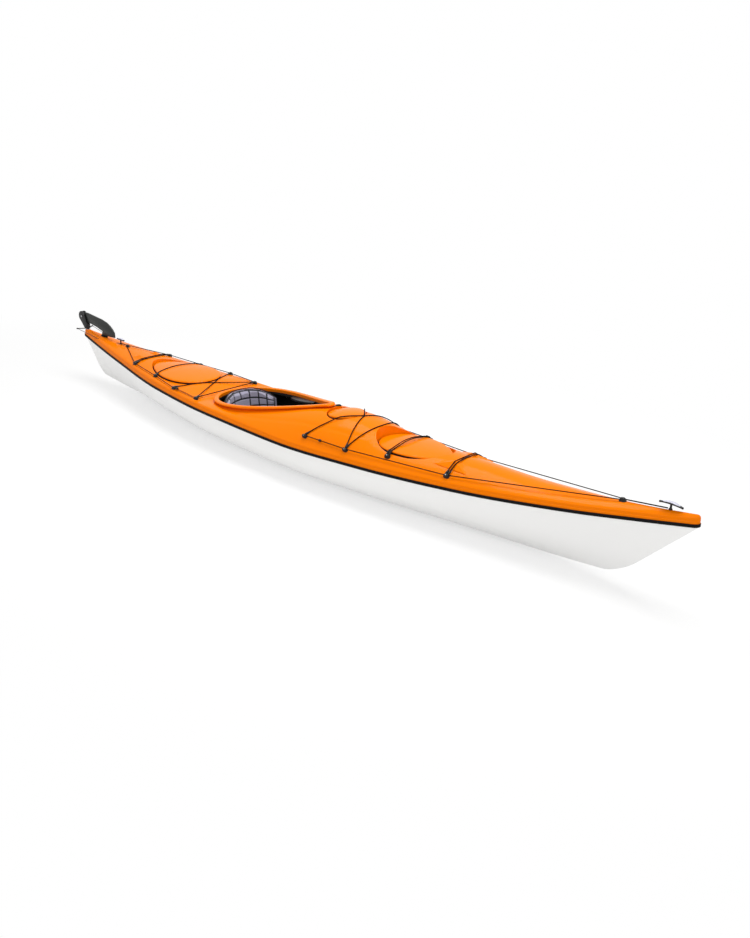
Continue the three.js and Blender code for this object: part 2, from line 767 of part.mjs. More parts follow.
// Steering cables, from the yoke through the deck and the stern bulkhead to the foot braces
const railFrontX = railRearX + railLength;
const railSide = (x) => innerSide(x, railZ - railHeight / 2) - 2 * seatGap;
const yokeEnd = { x: yawX - yokeSweep, y: yokeHalfSpan };
const cableThrough = [
  [cableEntryX, 0.62, cableEntryDrop], [cableEntryX + 110, 0.6, 36], [-0.72 * halfLength, 0.72, 52],
  [-0.51 * halfLength, 0.84, 66], [sternBulkheadX, 0.88, 70], [cockpitCentre, 0.9, 80], [0, 0.9, 92],
];
const cableRoute = [
  [yokeEnd.x + yokeBall + cableClear, yokeEnd.y, yokeZ + yokePlate / 2],
  ...cableThrough.map(([x, share, drop]) => [x, breadth(x) * share, bandTop(x) - drop]),
  [railRearX - cableClear, railSide(railRearX) - railDepth / 2, railZ],
];
const portCable = tube(cableRoute, cableDiameter, 5, cablePitchShare);
const cableHole = tube(cableRoute, cableDiameter + 2 * cordGap, 5, cablePitchShare * 0.7);
const mirror = (body) => body.mirror([0, 1, 0]);
const bothSides = (name, body, material) => {
  add(`${name}_port`, body, material);
  add(`${name}_starboard`, mirror(body), material);
};

// Cords that run from fitting to fitting
const stood = (x, y, side, outboard = 0, height = cordStand) => [
  x, side * (y + outboard), deckTop(x, y) + height - outboard * sideFallShare,
];
const inboard = (name, side) => stood(fittings[name].x, fittings[name].y, side, -lineOutboard);
const outer = (name, side) => stood(fittings[name].x, fittings[name].y, side, lineOutboard);
const stretch = (places, diameter, bow = 0) => places.slice(1).flatMap((to, i) => (
  thinned(tautRoute(places[i], to, diameter, bow)).slice(i ? 1 : 0)));
const ball = ([x, y, z], radius) => solid(new THREE.IcosahedronGeometry(radius * 1.2, 0).translate(x, y, z));
const cord = (strands, diameter) => strands
  .map((strand) => polyTube(strand, diameter))
  .reduce((a, b) => a.add(b));
const threaded = (strands, diameter) => join(
  cord(strands, diameter + 2 * cordGap),
  strands.flatMap((strand) => [strand[0], strand.at(-1)]).map((end) => ball(end, diameter / 2 + 2 * cordGap)),
);
const portToStarboard = (row) => [...row.map((step) => step(-1)),
  ...[...row].reverse().map((step) => step(1))];
const centreTurn = (x) => (side) => stood(x, lineDiameter * 1.4, side);
const foreLine = [stretch(portToStarboard([
  (side) => outer('fore_1', side), (side) => outer('fore_2', side), (side) => outer('bow_ridge', side),
  centreTurn(bowCentreX),
]), lineDiameter)];
const aftLine = [stretch([
  ...portToStarboard([
    (side) => outer('aft_2', side), (side) => outer('stern_hatch', side),
    (side) => outer('stern_ridge', side),
    centreTurn(sternCentreX),
  ]), outer('aft_1', 1),
], lineDiameter)];
const crossed = (rear, front, bow, via) => [
  stretch([inboard(rear, -1), ...via, inboard(front, 1)], bungeeDiameter),
  stretch([inboard(front, 1), inboard(front, -1)], bungeeDiameter, bow),
  stretch([inboard(front, -1), ...via, inboard(rear, 1)], bungeeDiameter),
];
const crossingX = podHatch.x + podHatch.halfLength + podHatch.margin + crossingGap;
const crossingPoint = [crossingX, 0, deckTop(crossingX, 0) + bungeeDiameter / 2 + cordGap];
const foreBungee = crossed('fore_1', 'fore_2', foreBow, [crossingPoint]);
const aftBungee = crossed('aft_2', 'aft_1', 0, []);
const across = (name, shift, bow = 0) => stretch([-1, 1].map((side) => {
  const [x, y, z] = inboard(name, side);
  return [x + shift, y, z];
}), bungeeDiameter, bow);
const bowStrap = [across('bow_hatch', pairSpread / 2), across('bow_hatch', -pairSpread / 2)];
const sternStrap = [across('stern_hatch', 0, -sternStrapBow)];
const bowRidgeCords = [across('bow_ridge', pairSpread / 2), across('bow_ridge', -pairSpread / 2)];
const sternRidgeCords = [across('stern_ridge', pairSpread / 2), across('stern_ridge', -pairSpread / 2)];
const toggleCord = (toggleX, fittingX) => {
  const side = Math.sign(toggleX);
  return [[stood(fittingX + side * toggleCordInset, 0, 1),
    stood(toggleX - side * toggleCordEnd, 0, 1, 0, toggleCordHeight)]];
};
const bowToggleCord = toggleCord(bowToggleX, bowCentreX);
const sternToggleCord = toggleCord(sternToggleX, sternCentreX);
const liftEnds = [['aft_2', liftInset], ['aft_1', liftLoop]].map(([name, shift]) => (
  stood(fittings[name].x + shift, fittings[name].y, -1, lineOutboard, liftLow)));
const liftRoute = stretch(liftEnds, liftDiameter + liftClear);
const liftLines = [0, liftHigh - liftLow].map((raise) => liftRoute.map(([x, y, z]) => [x, y, z + raise]));
const liftTurn = [liftEnds[1][0] - liftDiameter / 2, liftEnds[1][1],
  liftEnds[1][2] + (liftHigh - liftLow) / 2];

// Deck fittings, standing square to the deck and threaded by every cord that passes
function fittingBody(x, y) {
  const slopeX = (deckTop(x + 1, y) - deckTop(x - 1, y)) / 2;
  const slopeY = (deckTop(x, y + 1) - deckTop(x, y - 1)) / 2;
  const up = new THREE.Vector3(-slopeX, -slopeY, 1).normalize();
  const along = new THREE.Vector3(1, 0, slopeX).normalize();
  const aside = up.clone().cross(along);
  const rings = fittingRingShares.map(([share, height]) => turns(12).map((turn) => (
    new THREE.Vector3(x, y, deckTop(x, y))
      .addScaledVector(along, (fittingLength / 2) * share * Math.cos(turn))
      .addScaledVector(aside, (fittingWidth / 2) * share * Math.sin(turn))
      .addScaledVector(up, fittingHeight * height).toArray())));
  return solid(loft(rings)).subtract(deckRaised);
}
const holes = {
  foreLine: threaded(foreLine, lineDiameter),
  aftLine: threaded(aftLine, lineDiameter),
  foreBungee: threaded(foreBungee, bungeeDiameter),
  aftBungee: threaded(aftBungee, bungeeDiameter),
  lift: threaded(liftLines, liftDiameter),
  sternToggle: threaded(sternToggleCord, bungeeDiameter),
};
const openFitting = (x, y) => cut(fittingBody(x, y), Object.values(holes));
const openPair = (name) => [-1, 1].map((side) => openFitting(fittings[name].x, side * fittings[name].y));

// Deck with its sunk seats, openings and holes
const hatchHole = ({ plan }) => prism(hatchOutline(plan, seatGap), below, above);
const rudderFlat = box([-halfLength - overrun, -overrun, gudgeonZ],
  [yawX + gudgeonFront, overrun, gudgeonZ + 3 * overrun]);
const pinHole = rod('z', [yawX, 0, pinBase + overrun * 2], pinDiameter / 2 + seatGap,
  overrun * 4 + 2 * seatGap);
const toggleBase = (x) => Math.max(deckTop(x - toggleFoot, 0), deckTop(x + toggleFoot, 0)) + seatGap;
const toggleHole = (x) => rod('z', [x, 0, toggleBase(x) - togglePost - runGap + overrun],
  toggleStemRadius + seatGap, 2 * overrun, 12);
const deck = cut(deckOutside, [
  ...hatches.map((hatch) => well(hatch, 0)),
  deckInside,
  prism(cockpitOutline(riserWall + seatGap), below, above),
  ...hatches.map(hatchHole),
  rudderFlat, pinHole, cableHole, mirror(cableHole), ...[bowToggleX, sternToggleX].map(toggleHole),
]);
add('hull', hull, white);
add('deck', deck, orange);

// Seam trim and cockpit rim
const sheerPlan = [...stations.map((x) => [x, -breadth(x)]),
  ...[...stations].reverse().map((x) => [x, breadth(x)])];
add('seam_trim', sweptRing(sheerPlan, [
  [seatGap, (x) => sheer(x) - trimHeight / 2], [trimDepth * 0.7, (x) => sheer(x) - trimHeight / 2],
  [trimDepth, (x) => sheer(x)], [trimDepth * 0.7, (x) => sheer(x) + trimHeight / 2],
  [seatGap, (x) => sheer(x) + trimHeight / 2],
]), black);
const lipUnder = (x, y) => Math.max(lipTop(x) - lipDepth, deckTop(x, y) + 3 * seatGap);
const lipSteps = [
  [0, (x, y) => deckTop(x, y) - riserTuck], [riserWall, (x, y) => deckTop(x, y) - riserTuck],
  [riserWall, lipUnder], [lipReach * 0.9, lipUnder],
  [lipReach, (x, y) => mix(lipUnder(x, y), lipTop(x), 0.45)],
  [lipReach * 0.78, (x) => lipTop(x) - 0.55 * lipRound],
  [lipReach * 0.42, (x) => lipTop(x)],
  [riserWall, (x) => lipTop(x) - 0.2 * lipRound],
  [0, (x) => lipTop(x) - lipRound],
];
add('cockpit_coaming', sweptRing(cockpitOutline(), lipSteps), orange);

// Bulkheads shaped to the inside of both shells
const bulkheadGap = 2 * seatGap;
const inside = join(
  solid(loft(voidStations.map((x) => hullRing(x, hullWall + bulkheadGap, 1)))),
  [solid(loft(voidStations.map((x) => deckRing(x, deckWall + bulkheadGap, 1))))],
);
const bulkhead = (x) => inside.intersect(box([x, -hullBeam, -overrun],
  [x + bulkheadWall, hullBeam, 4 * sheerHeight]));
add('bow_bulkhead', bulkhead(bowBulkheadX), charcoal);
add('stern_bulkhead', cut(bulkhead(sternBulkheadX), [cableHole, mirror(cableHole)]), charcoal);

// Hatch rims, lids and the tub under the middle hatch
for (const hatch of hatches) {
  const { name, plan, seat } = hatch;
  add(`${name}_rim`, sweptRing(hatchOutline(plan), [
    [-rimWall, (x) => seat(x) - plan.rimDepth], [0, (x) => seat(x) - plan.rimDepth],
    [0, (x) => seat(x) + rimStand - 2], [-2, (x) => seat(x) + rimStand],
    [-rimWall + 2, (x) => seat(x) + rimStand], [-rimWall, (x) => seat(x) + rimStand - 2],
  ]), black);
  const floor = (x) => seat(x) + rimStand + seatGap;
  const middle = [plan.x, 0];
  const cap = pad(hatchOutline(plan, lidOverhang), middle, [0.4, 0.75, 0.92, 1],
    (x, y, share) => lidTop(hatch, x, share) - (share === 1 ? lidRound : 0), (x) => floor(x));
  const plugOutline = (inward) => hatchOutline(plan, -rimWall - plugGap - inward);
  const plug = prism(plugOutline(0), (x) => floor(x) - plugDepth, (x) => floor(x) + 1);
  const hollow = pad(plugOutline(plugWall), middle, [0.5, 0.95, 1],
    (x, y, share) => lidTop(hatch, x, share * plugShare) - lidWall, (x) => floor(x) - plugDepth - 1);
  add(`${name}_lid`, cap.add(plug).subtract(hollow), orange);
}
const tubTop = (x) => hatches[1].seat(x) - podHatch.rimDepth - seatGap;
const tubPlan = (inward) => hatchOutline(podHatch, -inward);
add('pod_tub', prism(tubPlan(0), (x) => tubTop(x) - tubDepth, tubTop).subtract(
  prism(tubPlan(tubWall), (x) => tubTop(x) - tubDepth + tubWall, (x) => tubTop(x) + overrun),
), black);

// Seat pan with its ears, cushion and backrest
const seatPlan = (share) => turns(24).map((turn) => {
  const square = (v) => Math.sign(v) * Math.sqrt(Math.abs(v));
  return [seatX + seatHalfLength * share * square(Math.cos(turn)),
    seatHalfWidth * share * square(Math.sin(turn))];
});
const seatMiddle = [seatX, 0];
const rimLift = (share) => seatRim * clamp((share - seatFlatShare) / (1 - seatFlatShare));
const panBody = pad(seatPlan(1), seatMiddle, [0.4, seatFlatShare, 0.92, 1],
  (x, y, share) => seatFloor + rimLift(share),
  (x, y, share) => Math.max(innerFloor(x, y) + panLift,
    share > seatFlatShare ? seatFloor + rimLift(share) - panEdge : 0));
const drawn = (points) => new THREE.Shape(points.map(([x, z]) => new THREE.Vector2(x, z)));
const earY = lugY + lugWidth + runGap;
const ear = plateXZ(drawn([
  [hingeX + 44, seatFloor + 6], [hingeX - 12, hingeZ - 14], [hingeX - 12, hingeZ + 12],
  [hingeX + 12, hingeZ + 12], [hingeX + 52, seatFloor + 24], [hingeX + 60, seatFloor - 4],
  [hingeX + 48, seatFloor - 4],
]), earWall).translate([0, earY + earWall / 2, 0]).subtract(rod('y', [hingeX, earY, hingeZ],
  bossRadius + seatGap, overrun));
add('seat_pan', join(panBody, [ear, mirror(ear)]), black);
add('seat_cushion', pad(seatPlan(cushionShare), seatMiddle, [0.45, 0.85, 1],
  (x, y, share) => seatFloor + seatGap + cushionRise * (share === 1 ? 0.35 : 1),
    () => seatFloor + seatGap), charcoal);
function backrestPoint(u, v, radius) {
  const turn = u * backrestHalfTurn;
  const bend = (Math.sin(turn) / Math.sin(backrestHalfTurn)) ** 4;
  const height = backrestHeight * mix(baseShare * bend, 1 - archShare * bend, v);
  return [
    backrestX + backrestArc - radius * Math.cos(turn) - (backrestLean * height) / backrestHeight,
    radius * Math.sin(turn), backrestBase + height,
  ];
}
const [padColumns, padRows, tileColumns, tileRows] = [20, 12, 5, 3];
function padDepth(u, v) {
  const column = Math.round(((u + 1) / 2) * padColumns);
  const row = Math.round(v * padRows);
  const seam = column % (padColumns / tileColumns) === 0 || row % (padRows / tileRows) === 0;
  const edge = Math.max(Math.abs(u), Math.abs(2 * v - 1));
  return backrestPad * (edge > 0.99 ? 0.35 : 1) - (seam && edge < 0.99 ? backrestGroove : 0);
}
add('backrest_pad', slab(padColumns, padRows,
  (u, v) => backrestPoint(u, v, backrestArc - padDepth(u, v)), (u, v) => backrestPoint(u, v, backrestArc)),
    lavender);
const shellInner = backrestArc + 2 * seatGap;
const lug = join(box([hingeX - lugRadius, lugY, hingeZ], [lugFront, lugY + lugWidth, hingeZ + lugRise]), [
  rod('y', [hingeX, lugY + lugWidth / 2, hingeZ], lugRadius - 1, lugWidth),
  rod('y', [hingeX, (lugY + earY + earWall) / 2, hingeZ], bossRadius, earY + earWall - lugY),
]);
add('backrest_shell', join(slab(padColumns, 3,
  (u, v) => backrestPoint(u * shellShare, v * shellShare, shellInner),
  (u, v) => backrestPoint(u * shellShare, v * shellShare, shellInner + backrestShell)),
    [lug, mirror(lug)]), black);

// Thigh braces under the sides of the cockpit rim
const braceTurns = range(8).map((i) => mix(braceFrom, braceTo, i / 7));
const brace = solid(loft(braceTurns.map((degrees, i) => {
  const turn = (degrees * Math.PI) / 180;
  const [a, b] = [cockpitPoint(turn - 0.01), cockpitPoint(turn + 0.01)];
  const size = Math.hypot(b[0] - a[0], b[1] - a[1]);
  const [x, y] = cockpitPoint(turn);
  const reach = braceReach * mix(0.25, 1, Math.sin((Math.PI * (i + 0.5)) / 8));
  const top = deckTop(x, y) - 2;
  return [[2 * seatGap, top], [2 * seatGap, top - braceWall], [reach, top - braceWall - 8], [reach, top - 6]]
    .map(([inward, z]) => [x - ((b[1] - a[1]) / size) * inward, y + ((b[0] - a[0]) / size) * inward, z]);
})));
bothSides('thigh_brace', brace, black);

// Foot braces: rail, carriage and toe pedal, drawn along the rail and turned to the side of the hull
const railTurn = (Math.atan2(railSide(railFrontX) - railSide(railRearX), railLength) * 180) / Math.PI;
const onRail = (body) => body.rotate([0, 0, railTurn]).translate([railRearX, railSide(railRearX), railZ]);
const halfRail = railHeight / 2;
const channel = halfRail - railLip;
bothSides('foot_rail', onRail(box([0, -railDepth, -halfRail], [railLength, 0, halfRail]).subtract(
  box([railLip, -railDepth - 1, -channel], [railLength - railLip, -railLip, channel]))), alloy);
const plateY = -railDepth - runGap;
const pegY = plateY - pegWall;
const pegX = carriageX + carriageLength - pegWall;
const pegTop = pegHeight / 2;
const toeZ = pegTop + toeBarrel + runGap;
const pegInner = pegY - pegWidth;
const lugBox = (y) => join(box([pegX, y, pegTop - 3], [pegX + pegWall, y + toeLug, toeZ]), [
  rod('y', [pegX + pegWall / 2, y + toeLug / 2, toeZ], pegWall / 2, toeLug, 12)])
  .subtract(rod('y', [pegX + pegWall / 2, y + toeLug / 2, toeZ], toePin + seatGap, 2 * toeLug, 12));
bothSides('foot_pedal', onRail(join(box([carriageX, -railDepth - 1, -channel + runGap],
  [carriageX + carriageLength, -railLip - runGap, channel - runGap]), [
  box([carriageX, pegY, -halfRail], [carriageX + carriageLength, plateY, halfRail]),
  box([pegX, pegInner, -pegTop], [pegX + pegWall, pegY + 1, pegTop]),
  lugBox(pegInner), lugBox(pegY - toeLug),
])), black);
const toeSpan = [pegInner + toeLug + runGap, pegY - toeLug - runGap];
bothSides('toe_pedal', onRail(join(
  rod('y', [pegX + pegWall / 2, (toeSpan[0] + toeSpan[1]) / 2, toeZ], toeBarrel - runGap,
    toeSpan[1] - toeSpan[0], 12), [
    rod('y', [pegX + pegWall / 2, (pegInner + pegY) / 2, toeZ], toePin, pegWidth, 12),
    box([pegX + (pegWall - toeWall) / 2, toeSpan[0], toeZ],
      [pegX + (pegWall + toeWall) / 2, toeSpan[1], toeZ + toeHeight]),
  ])), black);

// Rudder: mount, pin, yoke, head, bolt and blade
add('rudder_gudgeon', box([-halfLength, -gudgeonWidth / 2, gudgeonZ + seatGap],
  [-halfLength + gudgeonLength, gudgeonWidth / 2, gudgeonZ + seatGap + gudgeonPlate])
  .subtract(rod('z', [yawX, 0, gudgeonZ], pinDiameter / 2 + seatGap, overrun)), steel);
add('rudder_pin', rod('z', [yawX, 0, pinBase + pinLength / 2], pinDiameter / 2, pinLength), steel);
const yokePlan = [-1, 1].map((side) => prism([
  [yawX - yokeArm / 2, side * 2], [yawX + yokeArm / 2, side * 2],
  [yokeEnd.x + yokeArm / 2, side * yokeEnd.y], [yokeEnd.x - yokeArm / 2, side * yokeEnd.y],
], () => yokeZ, () => yokeZ + yokePlate));
const yokeBalls = [-1, 1].map((side) => rod('z', [yokeEnd.x, side * yokeEnd.y, yokeZ + yokePlate / 2],
  yokeBall, yokeBallHeight));
add('rudder_yoke', join(rod('z', [yawX, 0, yokeZ + yokePlate / 2], yokeDisc, yokePlate, 24),
  [...yokePlan, ...yokeBalls])
  .subtract(rod('z', [yawX, 0, yokeZ], pinDiameter / 2 + seatGap, overrun)), black);
const headTop = headZ + headBlock;
const pivotAt = [pivotX, 0, pivotZ];
const cheeks = join(rod('y', pivotAt, headRadius, headThickness, 28), [plateXZ(drawn([
  [yawX - headBlockHalf, headZ], [yawX + headBlockHalf, headZ], [yawX + headBlockHalf, headTop],
  [pivotX + headRadius * 0.86, pivotZ + headRadius * 0.5],
    [pivotX - headRadius * 0.94, pivotZ - headRadius * 0.34],
]), headThickness)]);
const slotHalf = bladeThickness / 2 + slotGap;
const blocker = -halfLength - overrun * 4;
add('rudder_head', cut(cheeks, [
  box([blocker, -slotHalf, headTop], [yawX + 2 * headBlockHalf, slotHalf, pivotZ + 2 * headRadius]),
  box([blocker, -slotHalf, headZ - 1], [yawX - headBlockHalf, slotHalf, pivotZ]),
  rod('z', [yawX, 0, headZ], pinDiameter / 2 + seatGap, 4 * overrun),
  rod('y', pivotAt, boltDiameter / 2 + seatGap, 2 * headThickness),
]), black);
const boltHalf = headThickness / 2 + runGap;
add('rudder_pivot_bolt', join(rod('y', pivotAt, boltDiameter / 2, 2 * boltHalf + 2), [-1, 1].map((side) => (
  rod('y', [pivotX, side * (boltHalf + boltHeadDepth / 2), pivotZ], boltHead / 2, boltHeadDepth, 6)))),
    steel);
const bladeOutlineShares = [
  [0.153, 0.087], [0.427, 0.066], [0.611, 0.048], [0.763, 0.018], [0.865, -0.025], [0.941, -0.076],
  [0.992, -0.13], [1, -0.216], [0.789, -0.229], [0.595, -bladeFootShare], [0.623, -0.165], [0.43, -0.12], [0.26, -0.099],
];
const bladeOutline = bladeOutlineShares.map(([along, up]) => [pivotX + along * bladeReach,
  pivotZ + up * bladeReach]);
const bladeHub = range(11).map((i) => {
  const turn = mix(-Math.PI / 2 - 0.1, -1.5 * Math.PI - 0.2, i / 10);
  return [pivotX + bladeRoot * Math.cos(turn), pivotZ + bladeRoot * Math.sin(turn)];
});
add('rudder_blade', plateXZ(drawn([...bladeOutline, ...bladeHub]), bladeThickness, 0)
  .subtract(rod('y', pivotAt, boltDiameter / 2 + runGap, overrun)), black);
const restAt = [restX, 0];
const heelZ = pivotZ - bladeFootShare * bladeReach;
add('rudder_rest', pad(turns(12).map((turn) => [restX + (restLength / 2) * Math.cos(turn),
  (restWidth / 2) * Math.sin(turn)]),
  restAt, [0.5, 1], (x, y, share) => heelZ - slotGap - (share === 1 ? 2 : 0),
    () => heelZ - overrun).subtract(deckRaised), black);

// Cords, fittings, straps, beads and toggles
add('fore_perimeter_line', cord(foreLine, lineDiameter), cordBlack);
add('aft_perimeter_line', cord(aftLine, lineDiameter), cordBlack);
add('fore_bungee', cord(foreBungee, bungeeDiameter), cordBlack);
add('aft_bungee', cord(aftBungee, bungeeDiameter), cordBlack);
add('bow_hatch_strap', join(cord(bowStrap, bungeeDiameter), openPair('bow_hatch')), cordBlack);
add('stern_hatch_strap', join(cord(sternStrap, bungeeDiameter), openPair('stern_hatch')), cordBlack);
add('bow_ridge_bungee', join(cord(bowRidgeCords, bungeeDiameter), openPair('bow_ridge')), cordBlack);
add('stern_ridge_bungee', join(cord(sternRidgeCords, bungeeDiameter), openPair('stern_ridge')), cordBlack);
for (const name of ['fore_1', 'fore_2', 'aft_1', 'aft_2']) {
  const [starboard, port] = openPair(name);
  add(`${name}_fitting_port`, port, black);
  add(`${name}_fitting_starboard`, starboard, black);
}
add('stern_centre_fitting', openFitting(sternCentreX, 0), black);
add('bow_toggle_cord', cord(bowToggleCord, bungeeDiameter).add(openFitting(bowCentreX, 0)), cordBlack);
add('stern_toggle_cord', cord(sternToggleCord, bungeeDiameter), cordBlack);
function toggle(x, stand, length) {
  const base = toggleBase(x);
  const centre = [x, 0, deckTop(x, 0) + stand];
  const post = centre[2] - base + togglePost;
  return join(rod('x', centre, toggleRadius, length, 12), [
    rod('z', [x, 0, centre[2] - post / 2], toggleStemRadius, post, 12),
    rod('z', [x, 0, base + toggleFootDepth / 2], toggleFoot, toggleFootDepth, 12),
  ]);
}
add('bow_toggle', toggle(bowToggleX, bowToggleStand, bowToggleLength), black);
add('stern_toggle', toggle(sternToggleX, sternToggleStand, sternToggleLength), black);
function onRoute(route, x) {
  const i = route.findIndex((p, k) => k > 0 && p[0] >= x);
  const [a, b] = [route[i - 1], route[i]];
  const t = (x - a[0]) / (b[0] - a[0]);
  return a.map((v, k) => mix(v, b[k], t));
}
const beadBody = rod('x', onRoute(foreLine[0], beadX), beadRadius, beadLength, 12);
add('line_bead', beadBody.subtract(holes.foreLine), black);
add('rudder_lift_line', join(cord(liftLines, liftDiameter),
  [rod('z', liftTurn, liftDiameter / 2, liftHigh - liftLow + liftDiameter, 6)]), cordBlack);
const knobAt = onRoute(liftLines[1], knobX);
add('rudder_lift_knob', rod('x', [knobX, knobAt[1], knobAt[2] + knobRaise], knobRadius, knobLength, 12)
  .subtract(holes.lift), black);
bothSides('steering_cable', portCable, steel);

export default kayak;
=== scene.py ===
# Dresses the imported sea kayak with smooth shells, cords, soft goods, materials, light and a camera
import json
import math

import bmesh
import bpy
import numpy as np
from mathutils import Matrix, Vector


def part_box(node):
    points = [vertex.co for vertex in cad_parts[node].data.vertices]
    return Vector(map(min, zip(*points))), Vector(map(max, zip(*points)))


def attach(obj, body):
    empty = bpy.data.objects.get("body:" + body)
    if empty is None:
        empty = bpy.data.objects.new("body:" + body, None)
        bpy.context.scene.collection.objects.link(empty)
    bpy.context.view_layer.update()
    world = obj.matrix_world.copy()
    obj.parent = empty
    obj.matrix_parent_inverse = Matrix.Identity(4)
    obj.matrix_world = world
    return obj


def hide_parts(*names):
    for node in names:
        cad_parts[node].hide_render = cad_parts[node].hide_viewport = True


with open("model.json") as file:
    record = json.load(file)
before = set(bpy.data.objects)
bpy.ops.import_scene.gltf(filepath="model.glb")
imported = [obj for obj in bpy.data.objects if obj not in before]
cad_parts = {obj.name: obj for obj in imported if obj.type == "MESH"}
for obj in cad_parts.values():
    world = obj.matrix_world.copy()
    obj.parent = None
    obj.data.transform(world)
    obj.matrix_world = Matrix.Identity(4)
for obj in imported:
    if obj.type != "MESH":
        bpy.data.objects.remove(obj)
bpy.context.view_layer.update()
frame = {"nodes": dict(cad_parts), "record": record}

MM = 0.001


def placed(name, data):
    """A new object in the scene."""
    obj = bpy.data.objects.new(name, data)
    bpy.context.scene.collection.objects.link(obj)
    return obj


# Camera, fitted to the photograph
PHOTO_HEIGHT = 938
FOCAL_PIXELS = 957.05
SENSOR = 36.0
AZIMUTH = math.radians(41.387)
ELEVATION = math.radians(22.471)
ROLL = math.radians(2.201)
DISTANCE = 5.332
TARGET = Vector((0.503, 0.0, 0.113))

level = math.cos(ELEVATION)
back = Vector((math.sin(AZIMUTH) * level, -math.cos(AZIMUTH) * level, math.sin(ELEVATION)))
right = (-back).cross(Vector((0, 0, 1))).normalized()
up = right.cross(-back)
right_rolled = right * math.cos(ROLL) + up * math.sin(ROLL)
up_rolled = up * math.cos(ROLL) - right * math.sin(ROLL)
camera_data = bpy.data.cameras.new("camera")
camera_data.sensor_fit = "VERTICAL"
camera_data.sensor_height = SENSOR
camera_data.lens = FOCAL_PIXELS / PHOTO_HEIGHT * SENSOR
camera_data.clip_end = 100
camera = placed("camera", camera_data)
pose = Matrix((right_rolled, up_rolled, back)).transposed().to_4x4()
pose.translation = TARGET + back * DISTANCE
camera.matrix_world = pose
bpy.context.scene.camera = camera

# Hull lines, as in the part, in millimetres and in shares of the half-length, half-beam, sheer and crown
HALF = 2360.0
BEAM = 295.0
SHEER = 206.0
CROWN = 147.0
BAND = 40.0
LEAN = 15.0
NOSE = 17.0
WALL = 4.0
STEM = 9.0
KEEL_HALF = 30.0
ROCKER = 62.0
KEEL_REACH = 520.0
HEELS = {1: (2030.0, 90.0), -1: (2180.0, 60.0)}
SOLID_TIP = 170.0
STATION_SHARES = [-1, -0.9, -0.75, -0.5, -0.25, 0, 0.25, 0.5, 0.75, 0.9, 1]
BREADTH_SHARES = [0.058, 0.215, 0.44, 0.81, 0.985, 1, 0.86, 0.62, 0.345, 0.15, 0.058]
SHEER_SHARES = [1.52, 1.4, 1.25, 1.1, 1.04, 1, 1.08, 1.24, 1.56, 1.82, 2.03]
CROWN_STATIONS = [-1, -0.85, -0.6, -0.4, -0.314, -0.22, -0.127, -0.034, 0.058, 0.15, 0.3, 0.5, 0.7, 0.85, 1]
CROWN_SHARES = [0.03, 0.1, 0.2, 0.19, -0.05, 0.17, 0.52, 0.73, 0.94, 1, 0.6, 0.47, 0.2, 0.12, 0.06]
HATCHES = {
    "bow_hatch": dict(x=791.07, long=218, wide=143, taper=0.165, sinks=(63, 40), depth=40, flare=24),
    "pod_hatch": dict(x=283, long=101, wide=101, taper=0.1, sinks=(27, 19), depth=30, flare=8),
    "stern_hatch": dict(x=-1204.54, long=270, wide=170, taper=-0.286, sinks=(31, 9), depth=30, flare=24),
}
RIM_WALL = 9.0
RIM_STAND = 9.0
GAP = 0.35
LID_OVERHANG = 5.0
LID_EDGE = 8.0
LID_DOME = 12.0
WELL_MARGIN = 12.0
WELL_REACH = 120.0
COCKPIT_X = -300.0
COCKPIT_HALF = 438.0
COCKPIT_WIDE = 210.5
COCKPIT_TAPER = 1.14
LIP_REAR = 272.0
LIP_FRONT = 409.0
LIP_REACH = 31.0
LIP_DEPTH = 13.5
RISER = 4.0
# RISER_PALE is also how far down the rim's inner wall stays orange; below it the wall takes painted shade.
RISER_PALE = 21.0
RISER_SUNK = 13
RISER_INNER = 12
YAW_X = -2340.0
GUDGEON_Z = 353.605


def monotone(xs, ys):
    xs = np.array(xs, float)
    ys = np.array(ys, float)
    step = np.diff(xs)
    slope = np.diff(ys) / step
    tangent = np.zeros_like(ys)
    tangent[0] = slope[0]
    tangent[-1] = slope[-1]
    for i in range(1, len(xs) - 1):
        if slope[i - 1] * slope[i] > 0:
            before = 2 * step[i] + step[i - 1]
            after = step[i] + 2 * step[i - 1]
            tangent[i] = (before + after) / (before / slope[i - 1] + after / slope[i])

    def value(at):
        at = np.clip(at, xs[0], xs[-1])
        i = np.clip(np.searchsorted(xs, at) - 1, 0, len(xs) - 2)
        t = (at - xs[i]) / step[i]
        u = 1 - t
        return ((1 + 2 * t) * u * u * ys[i] + t * u * u * step[i] * tangent[i]
                + t * t * (3 - 2 * t) * ys[i + 1] - t * t * u * step[i] * tangent[i + 1])
    return value


def eased(xs, ys, width=0.03):
    """The same curve with its kinks in curvature blended over a short stretch of the hull."""
    raw = monotone(xs, ys)
    kernel = np.hanning(15)
    kernel /= kernel.sum()
    offsets = np.linspace(-width, width, 15)

    def value(at):
        at = np.asarray(at, float)
        near = np.clip(1 - np.abs(at), 0, width) / width
        return sum(k * raw(at + o * near) for k, o in zip(kernel, offsets))
    return value


breadth_at = eased(STATION_SHARES, BREADTH_SHARES)
sheer_at = eased(STATION_SHARES, SHEER_SHARES)
crown_at = eased(CROWN_STATIONS, CROWN_SHARES)


def clamp(v, low=0.0, high=1.0):
    return min(max(v, low), high)


def mix(a, b, t):
    return a + (b - a) * t


def turns(count):
    """Angles once round, in even steps."""
    return np.linspace(0, 2 * math.pi, count, endpoint=False)


def breadth(x, blunt=0.25):
    into = clamp((abs(x) - (HALF - NOSE)) / NOSE)
    return BEAM * float(breadth_at(x / HALF)) * max(math.sqrt(1 - into * into), blunt)


def sheer(x):
    return SHEER * float(sheer_at(x / HALF))


def nose(x):
    into = clamp((abs(x) - (HALF - NOSE)) / NOSE)
    return math.sqrt(1 - into * into)


